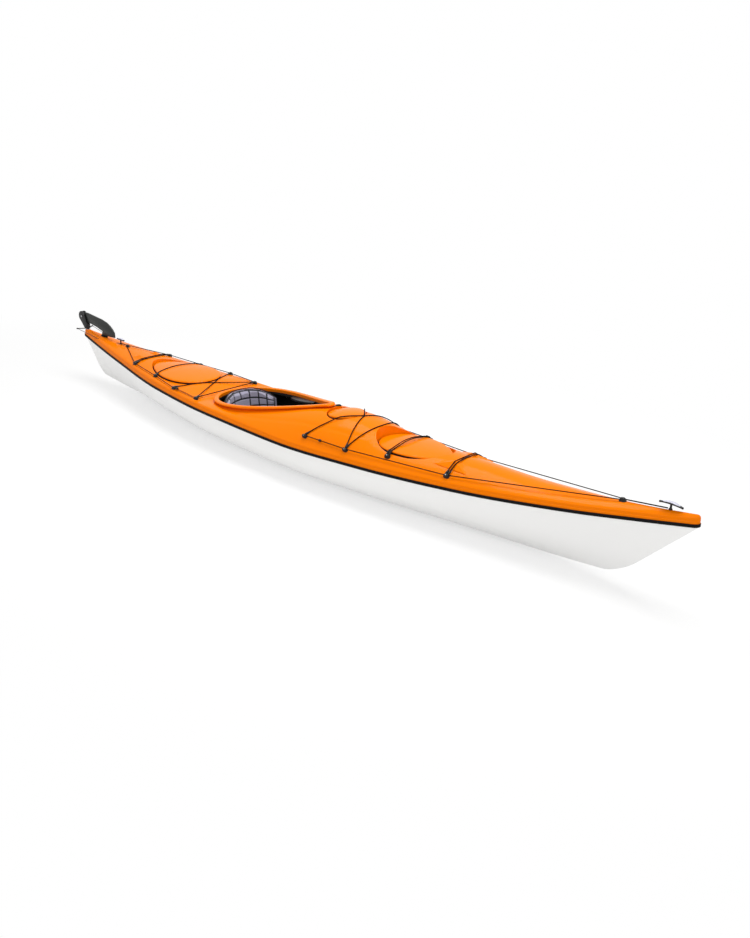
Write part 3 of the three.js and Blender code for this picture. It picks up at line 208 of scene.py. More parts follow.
def keel(x):
    heel, blend = HEELS[1 if x > 0 else -1]
    rocker = ROCKER * clamp((abs(x) - KEEL_REACH) / (heel - KEEL_REACH)) ** 2.2
    tip = sheer(math.copysign(HALF, x)) - STEM
    climb = (tip - ROCKER) / (HALF - heel)
    past = abs(x) - heel
    if past <= -blend:
        return rocker
    lift = climb * (past + blend) ** 2 / (4 * blend) if past < blend else climb * past
    return min(rocker + lift, sheer(x) - STEM)


def hull_half(x, inset=0.0, steps=20):
    b = breadth(x, 0.02 if not inset else 0.25) - inset
    full = clamp(1 - (abs(x) / (HALF * 0.93)) ** 1.9)
    floor = min(keel(x) + inset * mix(5, 1, full), sheer(x) - STEM / 2)
    flat = min(mix(STEM / 2, KEEL_HALF, clamp(full * 1.6)), b * 0.7)
    deep = sheer(x) - floor
    nodes = [(flat, floor), (mix(flat, b, mix(0.33, 0.8, full)), floor + deep * mix(0.33, 0.03, full)),
             (mix(flat, b, mix(0.67, 1, full)), floor + deep * mix(0.67, 0.32, full)), (b, sheer(x))]
    out = []
    for i in range(steps + 1):
        t = i / steps
        w = ((1 - t) ** 3, 3 * (1 - t) ** 2 * t, 3 * (1 - t) * t * t, t ** 3)
        out.append(tuple(sum(node[k] * w[j] for j, node in enumerate(nodes)) for k in (0, 1)))
    return out


def band_top(x):
    return sheer(x) + BAND * mix(0.55, 1, nose(x))


def lean_at(x):
    return LEAN * clamp(breadth(x) / (2.4 * LEAN))


def deck_top(x, y):
    power = mix(2.3, 1.55, clamp((x / HALF - 0.2) / 0.6))
    across = clamp(abs(y) / (breadth(x) - lean_at(x)))
    return band_top(x) + CROWN * float(crown_at(x / HALF)) * (1 - across ** power)


def rounded(points, share=0.3, steps=3):
    """A run of points with each inner corner turned into a short curve."""
    out = [points[0]]
    for a, b, c in zip(points, points[1:], points[2:]):
        start = [mix(b[k], a[k], share) for k in (0, 1)]
        end = [mix(b[k], c[k], share) for k in (0, 1)]
        for i in range(steps + 1):
            t = i / steps
            out.append(tuple((1 - t) ** 2 * start[k] + 2 * (1 - t) * t * b[k] + t * t * end[k]
                             for k in (0, 1)))
    out.append(points[-1])
    return out


BAND_SHARES = rounded([(0, 0), (0.04, 0.2), (0.1, 0.42), (0.34, 0.5), (0.34, 0.57), (0.5, 0.8), (1, 1)])
TOP_STEPS = 38
CREASE = np.array([
    (-806, 0), (-796, 60), (-765, 120), (-705, 172), (-610, 214), (-480, 240), (-330, 243), (-180, 226),
    (-40, 203), (90, 186), (230, 178), (360, 170), (470, 156), (545, 128), (590, 84), (606, 0)], float)
CREASE_DEEP, CREASE_WIDE, CREASE_FADE = 2.6, 10.0, 34


def crease(x, y):
    """Depth of the soft moulded line round the cockpit and the foredeck."""
    if not CREASE[0, 0] - CREASE_FADE < x < CREASE[-1, 0] + CREASE_FADE:
        return 0.0
    p = np.array((x, abs(y)))
    a, b = CREASE[:-1], CREASE[1:]
    along = np.clip(((p - a) * (b - a)).sum(1) / ((b - a) ** 2).sum(1), 0, 1)
    off = np.linalg.norm(a + (b - a) * along[:, None] - p, axis=1).min()
    return CREASE_DEEP * math.exp(-(off / CREASE_WIDE) ** 2)


def deck_half(x, inset=0.0):
    b = breadth(x, 0.02 if not inset else 0.25) - inset
    lean = min(lean_at(x), b * 0.5)
    rise = band_top(x) - sheer(x)
    band = [(b - lean * inward, sheer(x) + rise * up_share + (GAP if up_share == 0 else -inset))
            for inward, up_share in BAND_SHARES]
    edge = b - lean
    outer = breadth(x) - lean_at(x)
    top = []
    for i in range(TOP_STEPS):
        across = 1 - ((i + 1) / TOP_STEPS) ** 0.9
        sunk = 0 if inset else crease(x, outer * across)
        top.append((edge * across, deck_top(x, outer * across) - inset - sunk))
    return band + top


def section(half, x, past=0.0):
    """A closed section of a shell, or of a void whose edge goes past the seam."""
    if past:
        half = [(half[0][0], half[0][1] + past)] + half
    return [(x, -y, z) for y, z in half] + [(x, y, z) for y, z in reversed(half) if y > 1e-6]


def spread(count):
    """Stations from tip to tip, closer together towards the tips."""
    s = np.linspace(-1, 1, count)
    run = (HALF - NOSE) * (0.55 * s + 0.45 * np.sin(s * math.pi / 2))
    tip = HALF - NOSE * (1 - np.sin(np.linspace(0.15, 1, 8) * math.pi / 2))
    tip = tip[:-1].tolist() + [HALF - 0.15]
    return [-t for t in reversed(tip)] + run.tolist() + tip


def loft(rings):
    n = len(rings[0])
    verts = [p for ring in rings for p in ring]
    faces = []
    for i in range(len(rings) - 1):
        for j in range(n):
            k = (j + 1) % n
            faces.append((i * n + j, (i + 1) * n + j, (i + 1) * n + k, i * n + k))
    for ring, order in ((0, 1), (len(rings) - 1, -1)):
        centre = len(verts)
        verts.append(tuple(np.mean(rings[ring], 0)))
        for j in range(n):
            a, b = ring * n + j, ring * n + (j + 1) % n
            faces.append((a, b, centre) if order > 0 else (b, a, centre))
    return verts, faces


def pipe(points, radius, sides=12):
    """A closed tube along a few points."""
    pts = [Vector(p) for p in points]
    rings = []
    for i, p in enumerate(pts):
        ahead = (pts[min(i + 1, len(pts) - 1)] - pts[max(i - 1, 0)]).normalized()
        side = ahead.cross(Vector((0, 0, 1))).normalized()
        other = ahead.cross(side)
        rings.append([tuple(p + (side * math.cos(t) + other * math.sin(t)) * radius)
                      for t in turns(sides)])
    return loft(rings)


def outward(outline):
    """The points of a closed plan outline and their outward directions."""
    pts = np.array(outline)
    ahead = np.roll(pts, -1, 0) - np.roll(pts, 1, 0)
    return pts, np.stack([ahead[:, 1], -ahead[:, 0]], 1) / np.linalg.norm(ahead, axis=1)[:, None]


def swept(outline, profile):
    """A ring round a closed plan outline, from outward offsets and heights that vary with the place."""
    pts, out = outward(outline)
    n, m = len(pts), len(profile)
    verts = []
    for p, o in zip(pts, out):
        for offset, height in profile:
            x, y = p + o * (offset(*p) if callable(offset) else offset)
            verts.append((x, y, height(x, y)))
    faces = []
    for i in range(n):
        for j in range(m):
            k, q = (i + 1) % n, (j + 1) % m
            faces.append((i * m + j, k * m + j, k * m + q, i * m + q))
    return verts, faces


def over(base, rows):
    """A profile for a sweep whose heights follow a line along the hull."""
    return [(offset, (lambda x, y, lift=lift: base(x) + lift)) for offset, lift in rows]


def grow(outline, by):
    pts, out = outward(outline)
    return [tuple(p) for p in pts + out * by]


def make(name, shape, material=None, body="kayak", angle=35.0, replaces=()):
    """A Blender mesh from vertices in millimetres, smoothed up to an angle, riding on a body."""
    verts, faces = shape
    mesh = bpy.data.meshes.new(name)
    mesh.from_pydata([tuple(c * MM for c in v) for v in verts], [], faces)
    return finish_mesh(name, mesh, material, body, angle, replaces)


def finish_mesh(name, mesh, material, body, angle, replaces, weld=True):
    bm = bmesh.new()
    bm.from_mesh(mesh)
    if weld:
        bmesh.ops.remove_doubles(bm, verts=bm.verts, dist=1e-6)
        bmesh.ops.dissolve_degenerate(bm, edges=bm.edges, dist=1e-6)
    bmesh.ops.recalc_face_normals(bm, faces=bm.faces)
    bm.to_mesh(mesh)
    bm.free()
    mesh.shade_smooth()
    mesh.set_sharp_from_angle(angle=math.radians(angle))
    obj = placed(name, mesh)
    if material:
        mesh.materials.append(material)
    if body:
        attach(obj, body)
    if replaces:
        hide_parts(*replaces)
    return obj


def applied(obj):
    """Gives an object the mesh that its modifiers make, and clears them."""
    bpy.context.view_layer.update()
    mesh = bpy.data.meshes.new_from_object(obj.evaluated_get(bpy.context.evaluated_depsgraph_get()))
    obj.modifiers.clear()
    obj.data = mesh
    return mesh


def carve(target, cutter, operation="DIFFERENCE"):
    """Cuts one object from another for good, and deletes the cutter."""
    modifier = target.modifiers.new("cut", "BOOLEAN")
    modifier.object = cutter
    modifier.operation = operation
    modifier.solver = "MANIFOLD"
    modifier.material_mode = "TRANSFER"
    applied(target)
    bpy.data.objects.remove(cutter)


def blank(name, shape, material=None):
    return make(name, shape, material, None)


def prism(outline, low, high):
    return loft([[(x, y, height(x, y)) for x, y in outline] for height in (low, high)])


def box_shape(low, high):
    (x0, y0, z0), (x1, y1, z1) = low, high
    return loft([[(x, y0, z0), (x, y1, z0), (x, y1, z1), (x, y0, z1)] for x in (x0, x1)])


# Materials
def linear(code):
    values = [int(code[i:i + 2], 16) / 255 for i in (0, 2, 4)]
    return tuple(v / 12.92 if v <= 0.04045 else ((v + 0.055) / 1.055) ** 2.4 for v in values) + (1.0,)


def feed(tree, node, sockets):
    """Gives each named socket of a node its value, or links it from another node's output."""
    for socket, value in sockets.items():
        if isinstance(value, bpy.types.NodeSocket):
            tree.links.new(value, node.inputs[socket])
        else:
            node.inputs[socket].default_value = value


def added(tree, kind, sockets, **settings):
    """A new node in a tree, with its own settings and its sockets fed."""
    node = tree.nodes.new(f"ShaderNode{kind}")
    for name, value in settings.items():
        setattr(node, name, value)
    feed(tree, node, sockets)
    return node


def finish_of(name, code, rough, metal=0.0, coat=0.0, grain=400.0, bump=0.02, vary=0.06, sheen=0.0, weave=0.0,
              spec=0.5, depth=0.0002, groove_shade=None):
    """A material with a fine grain, slight variation of colour and roughness, and an optional braid or weave.

    An optional colour of painted shade is laid where a mesh has an attribute of the argument's name, such as
    in a pad's grooves.
    """
    material = bpy.data.materials.new(name)
    material.use_nodes = True
    tree = material.node_tree
    place = tree.nodes.new("ShaderNodeTexCoord").outputs["Object"]
    broad = added(tree, "TexNoise", {"Scale": 3.0, "Detail": 4.0, "Vector": place})
    dark, pale = [tuple(min(c * (1 + by), 1) for c in linear(code)[:3]) + (1,) for by in (-vary, vary)]
    tone = added(tree, "Mix", {"A": dark, "B": pale, "Factor": broad.outputs["Fac"]},
                 data_type="RGBA").outputs["Result"]
    # Painted shade: the dark colour is mixed in by the mesh attribute, darkest in a pad's grooves.
    if groove_shade:
        sunk = added(tree, "Attribute", {}, attribute_name="groove_shade")
        tone = added(tree, "Mix", {"A": tone, "B": linear(groove_shade), "Factor": sunk.outputs["Fac"]},
                     data_type="RGBA").outputs["Result"]
    height = fine = added(tree, "TexNoise", {"Scale": grain, "Detail": 3.0, "Vector": place}).outputs["Fac"]
    span = added(tree, "MapRange", {"To Min": rough * 0.85, "To Max": min(rough * 1.2, 1), "Value": fine})
    if weave:
        waves = [added(tree, "TexWave", {"Scale": weave, "Distortion": 0.6, "Vector": place},
                       bands_direction=way) for way in ("X", "DIAGONAL")]
        height = added(tree, "Math", {i: wave.outputs["Fac"] for i, wave in enumerate(waves)},
                       operation="MULTIPLY").outputs["Value"]
    raised = added(tree, "Bump", {"Strength": bump, "Distance": depth, "Height": height})
    feed(tree, tree.nodes["Principled BSDF"], {
        "Base Color": tone, "Metallic": metal, "Coat Weight": coat, "Coat Roughness": 0.06,
        "Specular IOR Level": spec, "Sheen Weight": sheen, "Roughness": span.outputs["Result"],
        "Normal": raised.outputs["Normal"]})
    return material


ORANGE = finish_of("deck_gelcoat", "F67C00", 0.16, coat=0.05, grain=60, bump=0.03, vary=0.015, depth=0.0004,
                   spec=0.03)
WHITE = finish_of("hull_gelcoat", "F4F4F3", 0.24, coat=0.2, grain=60, bump=0.03, vary=0.01, depth=0.0004,
                  spec=0.3)
# Painted shade: the inside faces of the shells, the hatch seats, the cable slots and the low inner wall of
# the cockpit rim are near black, standing for the shade inside the kayak.
INSIDE_SHADE = finish_of("painted_interior_shade", "0C0C0C", 0.75, grain=300, bump=0.2, spec=0.25)
BLACK = finish_of("black_moulding", "0E0E0F", 0.38, grain=900, bump=0.25, spec=0.3)
RUBBER = finish_of("black_rubber", "060606", 0.6, grain=700, bump=0.3, spec=0.12)
CORD = finish_of("cord_braid", "120C0B", 0.75, weave=260, bump=0.8, depth=0.0006, spec=0.1)
COATED = finish_of("coated_cable", "1C1C1E", 0.4, grain=700, bump=0.1, spec=0.3)
# The backrest fabric is near black in its grooves: painted shade.
FABRIC = finish_of("backrest_fabric", "A19EB2", 0.85, weave=420, bump=0.5, depth=0.0004, sheen=0.15,
                   vary=0.05, groove_shade="141318")
PIPING = finish_of("fabric_binding", "0C0C0E", 0.75, weave=500, bump=0.6, depth=0.0003, spec=0.25)
FOAM = finish_of("cushion_foam", "2E2E33", 0.9, grain=500, bump=0.6, sheen=0.2)
ALLOY = finish_of("anodised_alloy", "8E9094", 0.35, metal=1.0, grain=800, bump=0.15)
STEEL = finish_of("brushed_steel", "B9BABD", 0.28, metal=1.0, grain=600, bump=0.12)
PANEL = finish_of("bulkhead_panel", "3B3B3F", 0.6, grain=500, bump=0.3)
BLADE = finish_of("rudder_blade_coat", "161B18", 0.36, grain=500, bump=0.1, coat=0.05, spec=0.3)
# Painted highlight: a pale glossy copy laid on top of each toggle's black bar stands for the light on the
# bar's top.
PAINTED_HIGHLIGHT = finish_of("painted_highlight_cap", "C2C2D4", 0.16, grain=200, bump=0.05, coat=0.6)
SLOTS = {
    "deck_plastic": ORANGE, "hull_plastic": WHITE, "black_moulding": BLACK, "black_rubber": RUBBER,
    "cord": CORD, "backrest_fabric": FABRIC, "cushion_foam": FOAM, "alloy": ALLOY, "steel": STEEL,
    "bulkhead_panel": PANEL}
slot_of = {row["node"]: row["material_slot"] for row in frame["record"]["subparts"]}
body_of = {n: b for b, names in frame["record"]["behaviour"]["bodies"].items() for n in names}
for node, obj in frame["nodes"].items():
    for held in obj.material_slots:
        held.material = SLOTS[slot_of[node]]


def bevelled(node, width, material=None):
    """A copy of a CAD node with its flat facets joined and its edges rounded."""
    source = frame["nodes"][node]
    mesh = source.data.copy()
    mesh.materials.clear()
    bm = bmesh.new()
    bm.from_mesh(mesh)
    bmesh.ops.remove_doubles(bm, verts=bm.verts, dist=1e-5)
    bmesh.ops.dissolve_limit(bm, angle_limit=math.radians(1.5), verts=bm.verts, edges=bm.edges)
    sharp = [e for e in bm.edges if e.is_manifold and e.calc_face_angle(0) > math.radians(28)]
    bmesh.ops.bevel(bm, geom=sharp, offset=width * MM, offset_type="OFFSET", segments=2, profile=0.6,
                    affect="EDGES", clamp_overlap=True)
    bm.to_mesh(mesh)
    bm.free()
    return finish_mesh(f"{node}_finished", mesh, material or SLOTS[slot_of[node]], body_of[node], 32, [node],
                       False)


# Cords: the routes of the part, in metres
def both_sides(half, *centre):
    """A route over the deck, from its starboard half and what lies between the halves."""
    return [*half, *centre, *((x, -y, z) for x, y, z in reversed(half))]


def at_station(x, half, *centre):
    return both_sides([(x, y, z) for y, z in half], *((x, y, z) for y, z in centre))


def crossed(route):
    """The same route from its far end and on the other side."""
    return [(x, -y, z) for x, y, z in reversed(route)]


FORE_CROSS = [
    (0.1921, -0.2385, 0.2937), (0.2191, -0.209, 0.3202), (0.2407, -0.1855, 0.3392), (0.2543, -0.1708, 0.3498),
    (0.3164, -0.103, 0.3962), (0.3407, -0.0765, 0.4006), (0.3597, -0.0559, 0.4027), (0.3921, -0.0206, 0.4037),
    (0.411, 0, 0.4027), (0.4161, 0.0151, 0.4022), (0.4212, 0.0303, 0.401), (0.4262, 0.0454, 0.399),
    (0.4313, 0.0606, 0.3961), (0.4364, 0.0757, 0.3922), (0.4415, 0.0909, 0.3873), (0.4466, 0.106, 0.3813),
    (0.4504, 0.1174, 0.376), (0.4554, 0.1325, 0.3679), (0.4593, 0.1439, 0.3611), (0.4643, 0.1591, 0.3509),
    (0.4681, 0.1704, 0.3424), (0.472, 0.1818, 0.3332), (0.477, 0.1969, 0.3199), (0.4821, 0.2121, 0.3052),
    (0.4859, 0.2234, 0.2933)]
FORE_ACROSS = [
    (0.4859, 0.2234, 0.2933), (0.4918, 0.2115, 0.3047), (0.4973, 0.1995, 0.315), (0.5025, 0.1875, 0.3245),
    (0.5089, 0.1716, 0.3357), (0.5134, 0.1596, 0.3432), (0.5175, 0.1476, 0.35), (0.5213, 0.1357, 0.3559),
    (0.5259, 0.1197, 0.3628), (0.5289, 0.1077, 0.3672), (0.5325, 0.0918, 0.3721), (0.5348, 0.0798, 0.375),
    (0.5374, 0.0638, 0.3781), (0.5389, 0.0519, 0.3798), (0.5405, 0.0359, 0.3814), (0.5415, 0.0199, 0.3822),
    (0.5419, 0.004, 0.3824), (0.5418, -0.012, 0.3823), (0.541, -0.0279, 0.3819), (0.5398, -0.0439, 0.3807),
    (0.5379, -0.0598, 0.3788), (0.5355, -0.0758, 0.3759), (0.5333, -0.0878, 0.3731),
    (0.5299, -0.1037, 0.3685),
    (0.5269, -0.1157, 0.3644), (0.5225, -0.1317, 0.3578), (0.5188, -0.1436, 0.352), (0.5134, -0.1596, 0.3432),
    (0.5089, -0.1716, 0.3357), (0.5025, -0.1875, 0.3245), (0.4973, -0.1995, 0.315), (0.4918, -0.2115, 0.3047),
    (0.4859, -0.2234, 0.2933)]
AFT_CROSS = [
    (-1.0101, -0.2255, 0.2773), (-0.9525, -0.112, 0.2884), (-0.9381, -0.0836, 0.29),
    (-0.9255, -0.0588, 0.2901), (-0.9092, -0.0269, 0.2885), (-0.776, 0.2355, 0.268)]
CABLE = [
    (-2.367, 0.062, 0.3593), (-2.096, 0.0426, 0.3237), (-1.986, 0.0537, 0.2792), (-1.6992, 0.1033, 0.2408),
    (-1.2036, 0.1983, 0.2013), (-0.852, 0.2426, 0.1888), (-0.3, 0.2644, 0.169), (0, 0.2655, 0.154),
    (0.1481, 0.2576, 0.118)]
ROUTES = [
    ("fore_perimeter_line", 5, both_sides([
        (0.1921, -0.2477, 0.2905), (0.4859, -0.2326, 0.2901), (1.114, -0.1632, 0.3131),
        (1.1179, -0.1627, 0.3129), (1.1219, -0.162, 0.3138), (1.995, -0.007, 0.421)])),
    ("aft_perimeter_line", 5, both_sides([
        (-1.0101, -0.2347, 0.2741), (-1.265, -0.1887, 0.2861), (-1.55, -0.1465, 0.2984),
        (-1.84, -0.007, 0.3324)]) + [(-0.776, 0.2447, 0.2648)]),
    ("fore_bungee", 6, FORE_CROSS),
    ("fore_bungee", 6, FORE_ACROSS),
    ("fore_bungee", 6, crossed(FORE_CROSS)),
    ("aft_bungee", 6, AFT_CROSS),
    ("aft_bungee", 6, [(-0.776, 0.2355, 0.268), (-0.776, -0.2355, 0.268)]),
    ("aft_bungee", 6, crossed(AFT_CROSS)),
    ("bow_hatch_strap", 6, at_station(0.748, [
        (-0.1715, 0.315), (-0.1556, 0.3347), (-0.0558, 0.3547), (-0.0439, 0.3564), (-0.0279, 0.3578)],
        (0, 0.3586))),
    ("bow_hatch_strap", 6, at_station(0.734, [
        (-0.1715, 0.315), (-0.1556, 0.3343), (-0.0718, 0.352), (-0.0558, 0.3549), (-0.0439, 0.3566),
        (-0.0279, 0.358)], (0, 0.3587))),
    ("stern_hatch_strap", 6, both_sides([
        (-1.265, -0.1795, 0.2893), (-1.2694, -0.1635, 0.2991), (-1.2761, -0.1356, 0.3023),
        (-1.2816, -0.1077, 0.3051), (-1.2858, -0.0798, 0.3073), (-1.2888, -0.0518, 0.3089),
        (-1.2905, -0.0239, 0.3099)], (-1.291, 0, 0.3101))),
    ("bow_ridge_bungee", 6, at_station(1.1249, [
        (-0.1535, 0.3161), (-0.1495, 0.3228), (-0.0897, 0.3615), (-0.014, 0.3666)], (-0.002, 0.3669))),
    ("bow_ridge_bungee", 6, at_station(1.1109, [
        (-0.1535, 0.3161), (-0.1495, 0.3228), (-0.0857, 0.3644), (-0.0817, 0.365)], (-0.002, 0.3665))),
    ("stern_ridge_bungee", 6, at_station(-1.543, [(-0.1373, 0.3017), (-0.0856, 0.3136)], (-0.002, 0.3151))),
    ("stern_ridge_bungee", 6, at_station(-1.557, [(-0.1373, 0.3017), (-0.0816, 0.3171)])),
    ("bow_toggle_cord", 6, [(2.002, 0, 0.4228), (2.208, 0, 0.4492)]),
    ("stern_toggle_cord", 6, [(-1.847, 0, 0.3328), (-1.909, 0, 0.3329)]),
    ("rudder_lift_line", 3, [
        (-0.9991, -0.2347, 0.2703), (-0.8995, -0.2387, 0.2681), (-0.752, -0.2447, 0.26)]),
    ("rudder_lift_line", 3, [
        (-0.9991, -0.2347, 0.2765), (-0.8995, -0.2387, 0.2743), (-0.752, -0.2447, 0.2662)]),
    ("steering_cable_port", 3.5, CABLE),
    ("steering_cable_starboard", 3.5, [(x, -y, z) for x, y, z in CABLE]),
]

# Shells: hull and deck as smooth solids with the openings cut in them
VOID_END = HALF - SOLID_TIP
STATIONS = spread(240)
VOID_PAST = 30
VOID_STEP = 30
VOID_STATIONS = [-VOID_END] + [x for x in STATIONS if abs(x) < VOID_END - VOID_STEP] + [VOID_END]
CUT_REACH = 90
FLAT_REACH = 30
SLOT_RADIUS = 2.6
RIDGES = [(1106, 80), (-1604, 62)]
RIDGE_ENDS = [(98, 40, -15), (4, 2, 15)]

hull = make("hull_shell", loft([section(hull_half(x)[::-1], x) for x in STATIONS]), WHITE, None)
# The inside of the hull takes the near-black painted shade from the void that is cut out.
void = [section(hull_half(x, WALL)[::-1], x, VOID_PAST) for x in VOID_STATIONS]
carve(hull, blank("void", loft(void), INSIDE_SHADE))


def seat_plane(h):
    rear, front = h["x"] - h["long"], h["x"] + h["long"]
    low, high = deck_top(rear, 0) - h["sinks"][0], deck_top(front, 0) - h["sinks"][1]
    return lambda x, y=0: low + (high - low) * (x - rear) / (front - rear)


def hatch_plan(h, grown=0.0, count=96):
    return grow([(h["x"] + h["long"] * math.cos(t), h["wide"] * math.sin(t) * (1 - h["taper"] * math.cos(t)))
                 for t in turns(count)], grown)


def cockpit_plan(grown=0.0, count=160):
    out = []
    for t in turns(count):
        along = (1 + math.cos(t)) / 2
        out.append((COCKPIT_X + COCKPIT_HALF * math.cos(t),
                    COCKPIT_WIDE * math.sin(t) * (1 + COCKPIT_TAPER * (0.35 - along))))
    return grow(out, grown)


def above(x, y):
    return deck_top(x, y) + CUT_REACH


def below(x, y):
    return deck_top(x, y) - CUT_REACH


def well(h, grown=0.0):
    seat = seat_plane(h)
    low = [(x, y, seat(x) - grown) for x, y in hatch_plan(h, WELL_MARGIN + grown)]
    high = [(x, y, seat(x) + WELL_REACH) for x, y in hatch_plan(h, WELL_MARGIN + h["flare"] + grown)]
    return loft([low, high])


def ridge(x, y, side):
    """A low ridge, from a broad foot in the deck to a blunt tip."""
    base = deck_top(x, y)
    corners = ((-1, -1), (1, -1), (1, 1), (-1, 1))
    return loft([[(x + a * long, side * y + b * wide, base + rise) for a, b in corners]
                 for long, wide, rise in RIDGE_ENDS])


deck = make("deck_shell", loft([section(deck_half(x), x) for x in STATIONS]), ORANGE, None)
for rx, ry in RIDGES:
    for side in (1, -1):
        carve(deck, blank("ridge", ridge(rx, ry, side)), "UNION")
inner = blank("inner", loft([section(deck_half(x, WALL), x, -VOID_PAST) for x in VOID_STATIONS]), INSIDE_SHADE)
for h in HATCHES.values():
    carve(inner, blank("seat", well(h, WALL), INSIDE_SHADE))
    carve(deck, blank("recess", well(h), ORANGE))
carve(deck, inner)
carve(deck, blank("cockpit", prism(cockpit_plan(RISER + GAP), below, above), ORANGE))
for h in HATCHES.values():
    carve(deck, blank("mouth", prism(hatch_plan(h, GAP), below, above), ORANGE))
carve(deck, blank("flat", box_shape((-HALF - FLAT_REACH, -FLAT_REACH, GUDGEON_Z),
                                    (YAW_X + FLAT_REACH, FLAT_REACH, GUDGEON_Z + CUT_REACH)), ORANGE))
for side in (1, -1):
    run = [(x / MM, side * y / MM, z / MM) for x, y, z in CABLE[:3]]
    carve(deck, blank("cable_slot", pipe(run, SLOT_RADIUS), INSIDE_SHADE))
for shell, node, material in ((hull, "hull", WHITE), (deck, "deck", ORANGE)):
    finish_mesh(f"{node}_skin", shell.data, None, "kayak", 28, [node])
    bpy.data.objects.remove(shell)

# Seam trim, cockpit rim and hatch rims
plan = [(x, -breadth(x)) for x in STATIONS] + [(x, breadth(x)) for x in reversed(STATIONS)]
bead = rounded([(GAP, -8), (2.8, -8), (3.4, 0), (2.8, 8), (GAP, 8)], 0.25)
make("seam_trim_bead", swept(plan, over(sheer, bead)), RUBBER, replaces=["seam_trim"])


def lip_top(x):
    return mix(LIP_REAR, LIP_FRONT, clamp((x - COCKPIT_X) / (2 * COCKPIT_HALF) + 0.5) ** 1.5)


def lip_under(x, y):
    return max(lip_top(x) - LIP_DEPTH, deck_top(x, y) + 2 * GAP)


def deck_under(x, y):
    return deck_top(x, y) - RISER_SUNK


def lip_side(level):
    return lambda x, y: mix(lip_under(x, y), lip_top(x), level)


RISER_PROFILE = [(0.0, deck_under), (RISER, deck_under), (RISER, lip_under), (LIP_REACH * 0.5, lip_under),
                 (LIP_REACH * 0.9, lip_under)]
RISER_PROFILE += [(LIP_REACH * share, lip_side(level)) for share, level in (
    (0.97, 0.16), (1, 0.4), (0.97, 0.66), (0.88, 0.86), (0.72, 0.97))]
RISER_PROFILE += over(lip_top, [(LIP_REACH * 0.5, 0), (LIP_REACH * 0.3, 0), (RISER, -0.8), (1.2, -2.4),
                                (0.2, -4.6), (0.0, -8)])
RISER_PROFILE.append((0.0, lambda x, y: max(lip_top(x) - RISER_PALE, deck_top(x, y) - RISER_INNER)))
rim = make("cockpit_rim", swept(cockpit_plan(), RISER_PROFILE), ORANGE, replaces=["cockpit_coaming"])
rim.data.materials.append(INSIDE_SHADE)
# Painted shade: inward faces of the rim's inner wall below the orange band get the near-black shade colour.
for face in rim.data.polygons:
    side = face.center.copy()
    side.z = 0
    side.x -= COCKPIT_X * MM
    inward = face.normal.x * side.x / 4 + face.normal.y * side.y < 0 and abs(face.normal.z) < 0.3
    if inward and face.center.z < (lip_top(face.center.x / MM) - RISER_PALE) * MM:
        face.material_index = 1


def lid_shape(h, seat):
    """A domed lid with a rolled edge, a shallow step inside it and a hollow underside."""
    outline = np.array(hatch_plan(h, LID_OVERHANG))
    centre = np.array([h["x"], 0.0])
    return loft([[(x, y, seat(x) + RIM_STAND + GAP + lift) for x, y in centre + (outline - centre) * share]
                 for share, lift in LID_ROWS])


def dome(share):
    return LID_EDGE + LID_DOME * (1 - clamp(share) ** 2.2)


LID_ROWS = [(share, dome(share)) for share in (0.02, *np.linspace(0.08, 0.94, 16))]
LID_ROWS += [(0.97, LID_EDGE + 0.4), (0.985, LID_EDGE - 1.2), (0.996, LID_EDGE - 3.4), (1.0, 3.0),
             (0.997, 0.8), (0.99, 0), (0.905, 0), (0.9, -8), (0.87, -8), (0.865, 2), (0.6, 10), (0.3, 15),
             (0.02, 16)]
for name, h in HATCHES.items():
    seat = seat_plane(h)
    rim = rounded([(-RIM_WALL, -h["depth"]), (0, -h["depth"]), (0, RIM_STAND), (-RIM_WALL, RIM_STAND)], 0.12)
    make(f"{name}_gasket", swept(hatch_plan(h), over(seat, rim)), RUBBER, replaces=[f"{name}_rim"])

    # Partly painted shade: a black rubber sheet on the well's ledge under the lid, wider towards the rear, is
    # partly the gasket and partly the shade in the recess under the lid's edge.
    def gasket_and_shade_reach(x, y, h=h):
        return 1.5 + 10 * clamp((h["x"] - x) / h["long"] * 0.75 + 0.5)
    gasket_and_shade = [(-1.5, 0.2), (gasket_and_shade_reach, 0.2), (gasket_and_shade_reach, 2.2), (lambda x, y: gasket_and_shade_reach(x, y) * 0.7, 5.6),
             (-1.5, 8.4)]
    make(f"{name}_gasket_and_shade_sheet", swept(hatch_plan(h), over(seat, gasket_and_shade)), RUBBER)
    make(f"{name}_cover", lid_shape(h, seat), ORANGE, f"{name}_lid", replaces=[f"{name}_lid"])


# Turned and moulded small pieces
def lathe(name, centre, axis, rows, body, replaces=(), sides=24):
    """A turned black piece from distances along an axis and radii, in millimetres."""
    axis = Vector(axis).normalized()
    side = axis.orthogonal().normalized()
    other = axis.cross(side)
    centre = Vector(centre)
    rings = [[tuple(centre + axis * along + (side * math.cos(t) + other * math.sin(t)) * radius)
              for t in turns(sides)] for along, radius in rows]
    piece = make(name, loft(rings), BLACK, body, 40, replaces)


def middle(node):
    low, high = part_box(node)
    return [(a + b) / 2 / MM for a, b in zip(low, high)]


def smooth_route(points, rounds=2):
    pts = [Vector(p) for p in points]
    for _ in range(rounds):
        out = [pts[0]]
        for a, b in zip(pts, pts[1:]):
            reach = min((b - a).length * 0.25, 0.012)
            step = (b - a).normalized() * reach
            out += [a + step, b - step]
        out.append(pts[-1])
        pts = out
    return pts


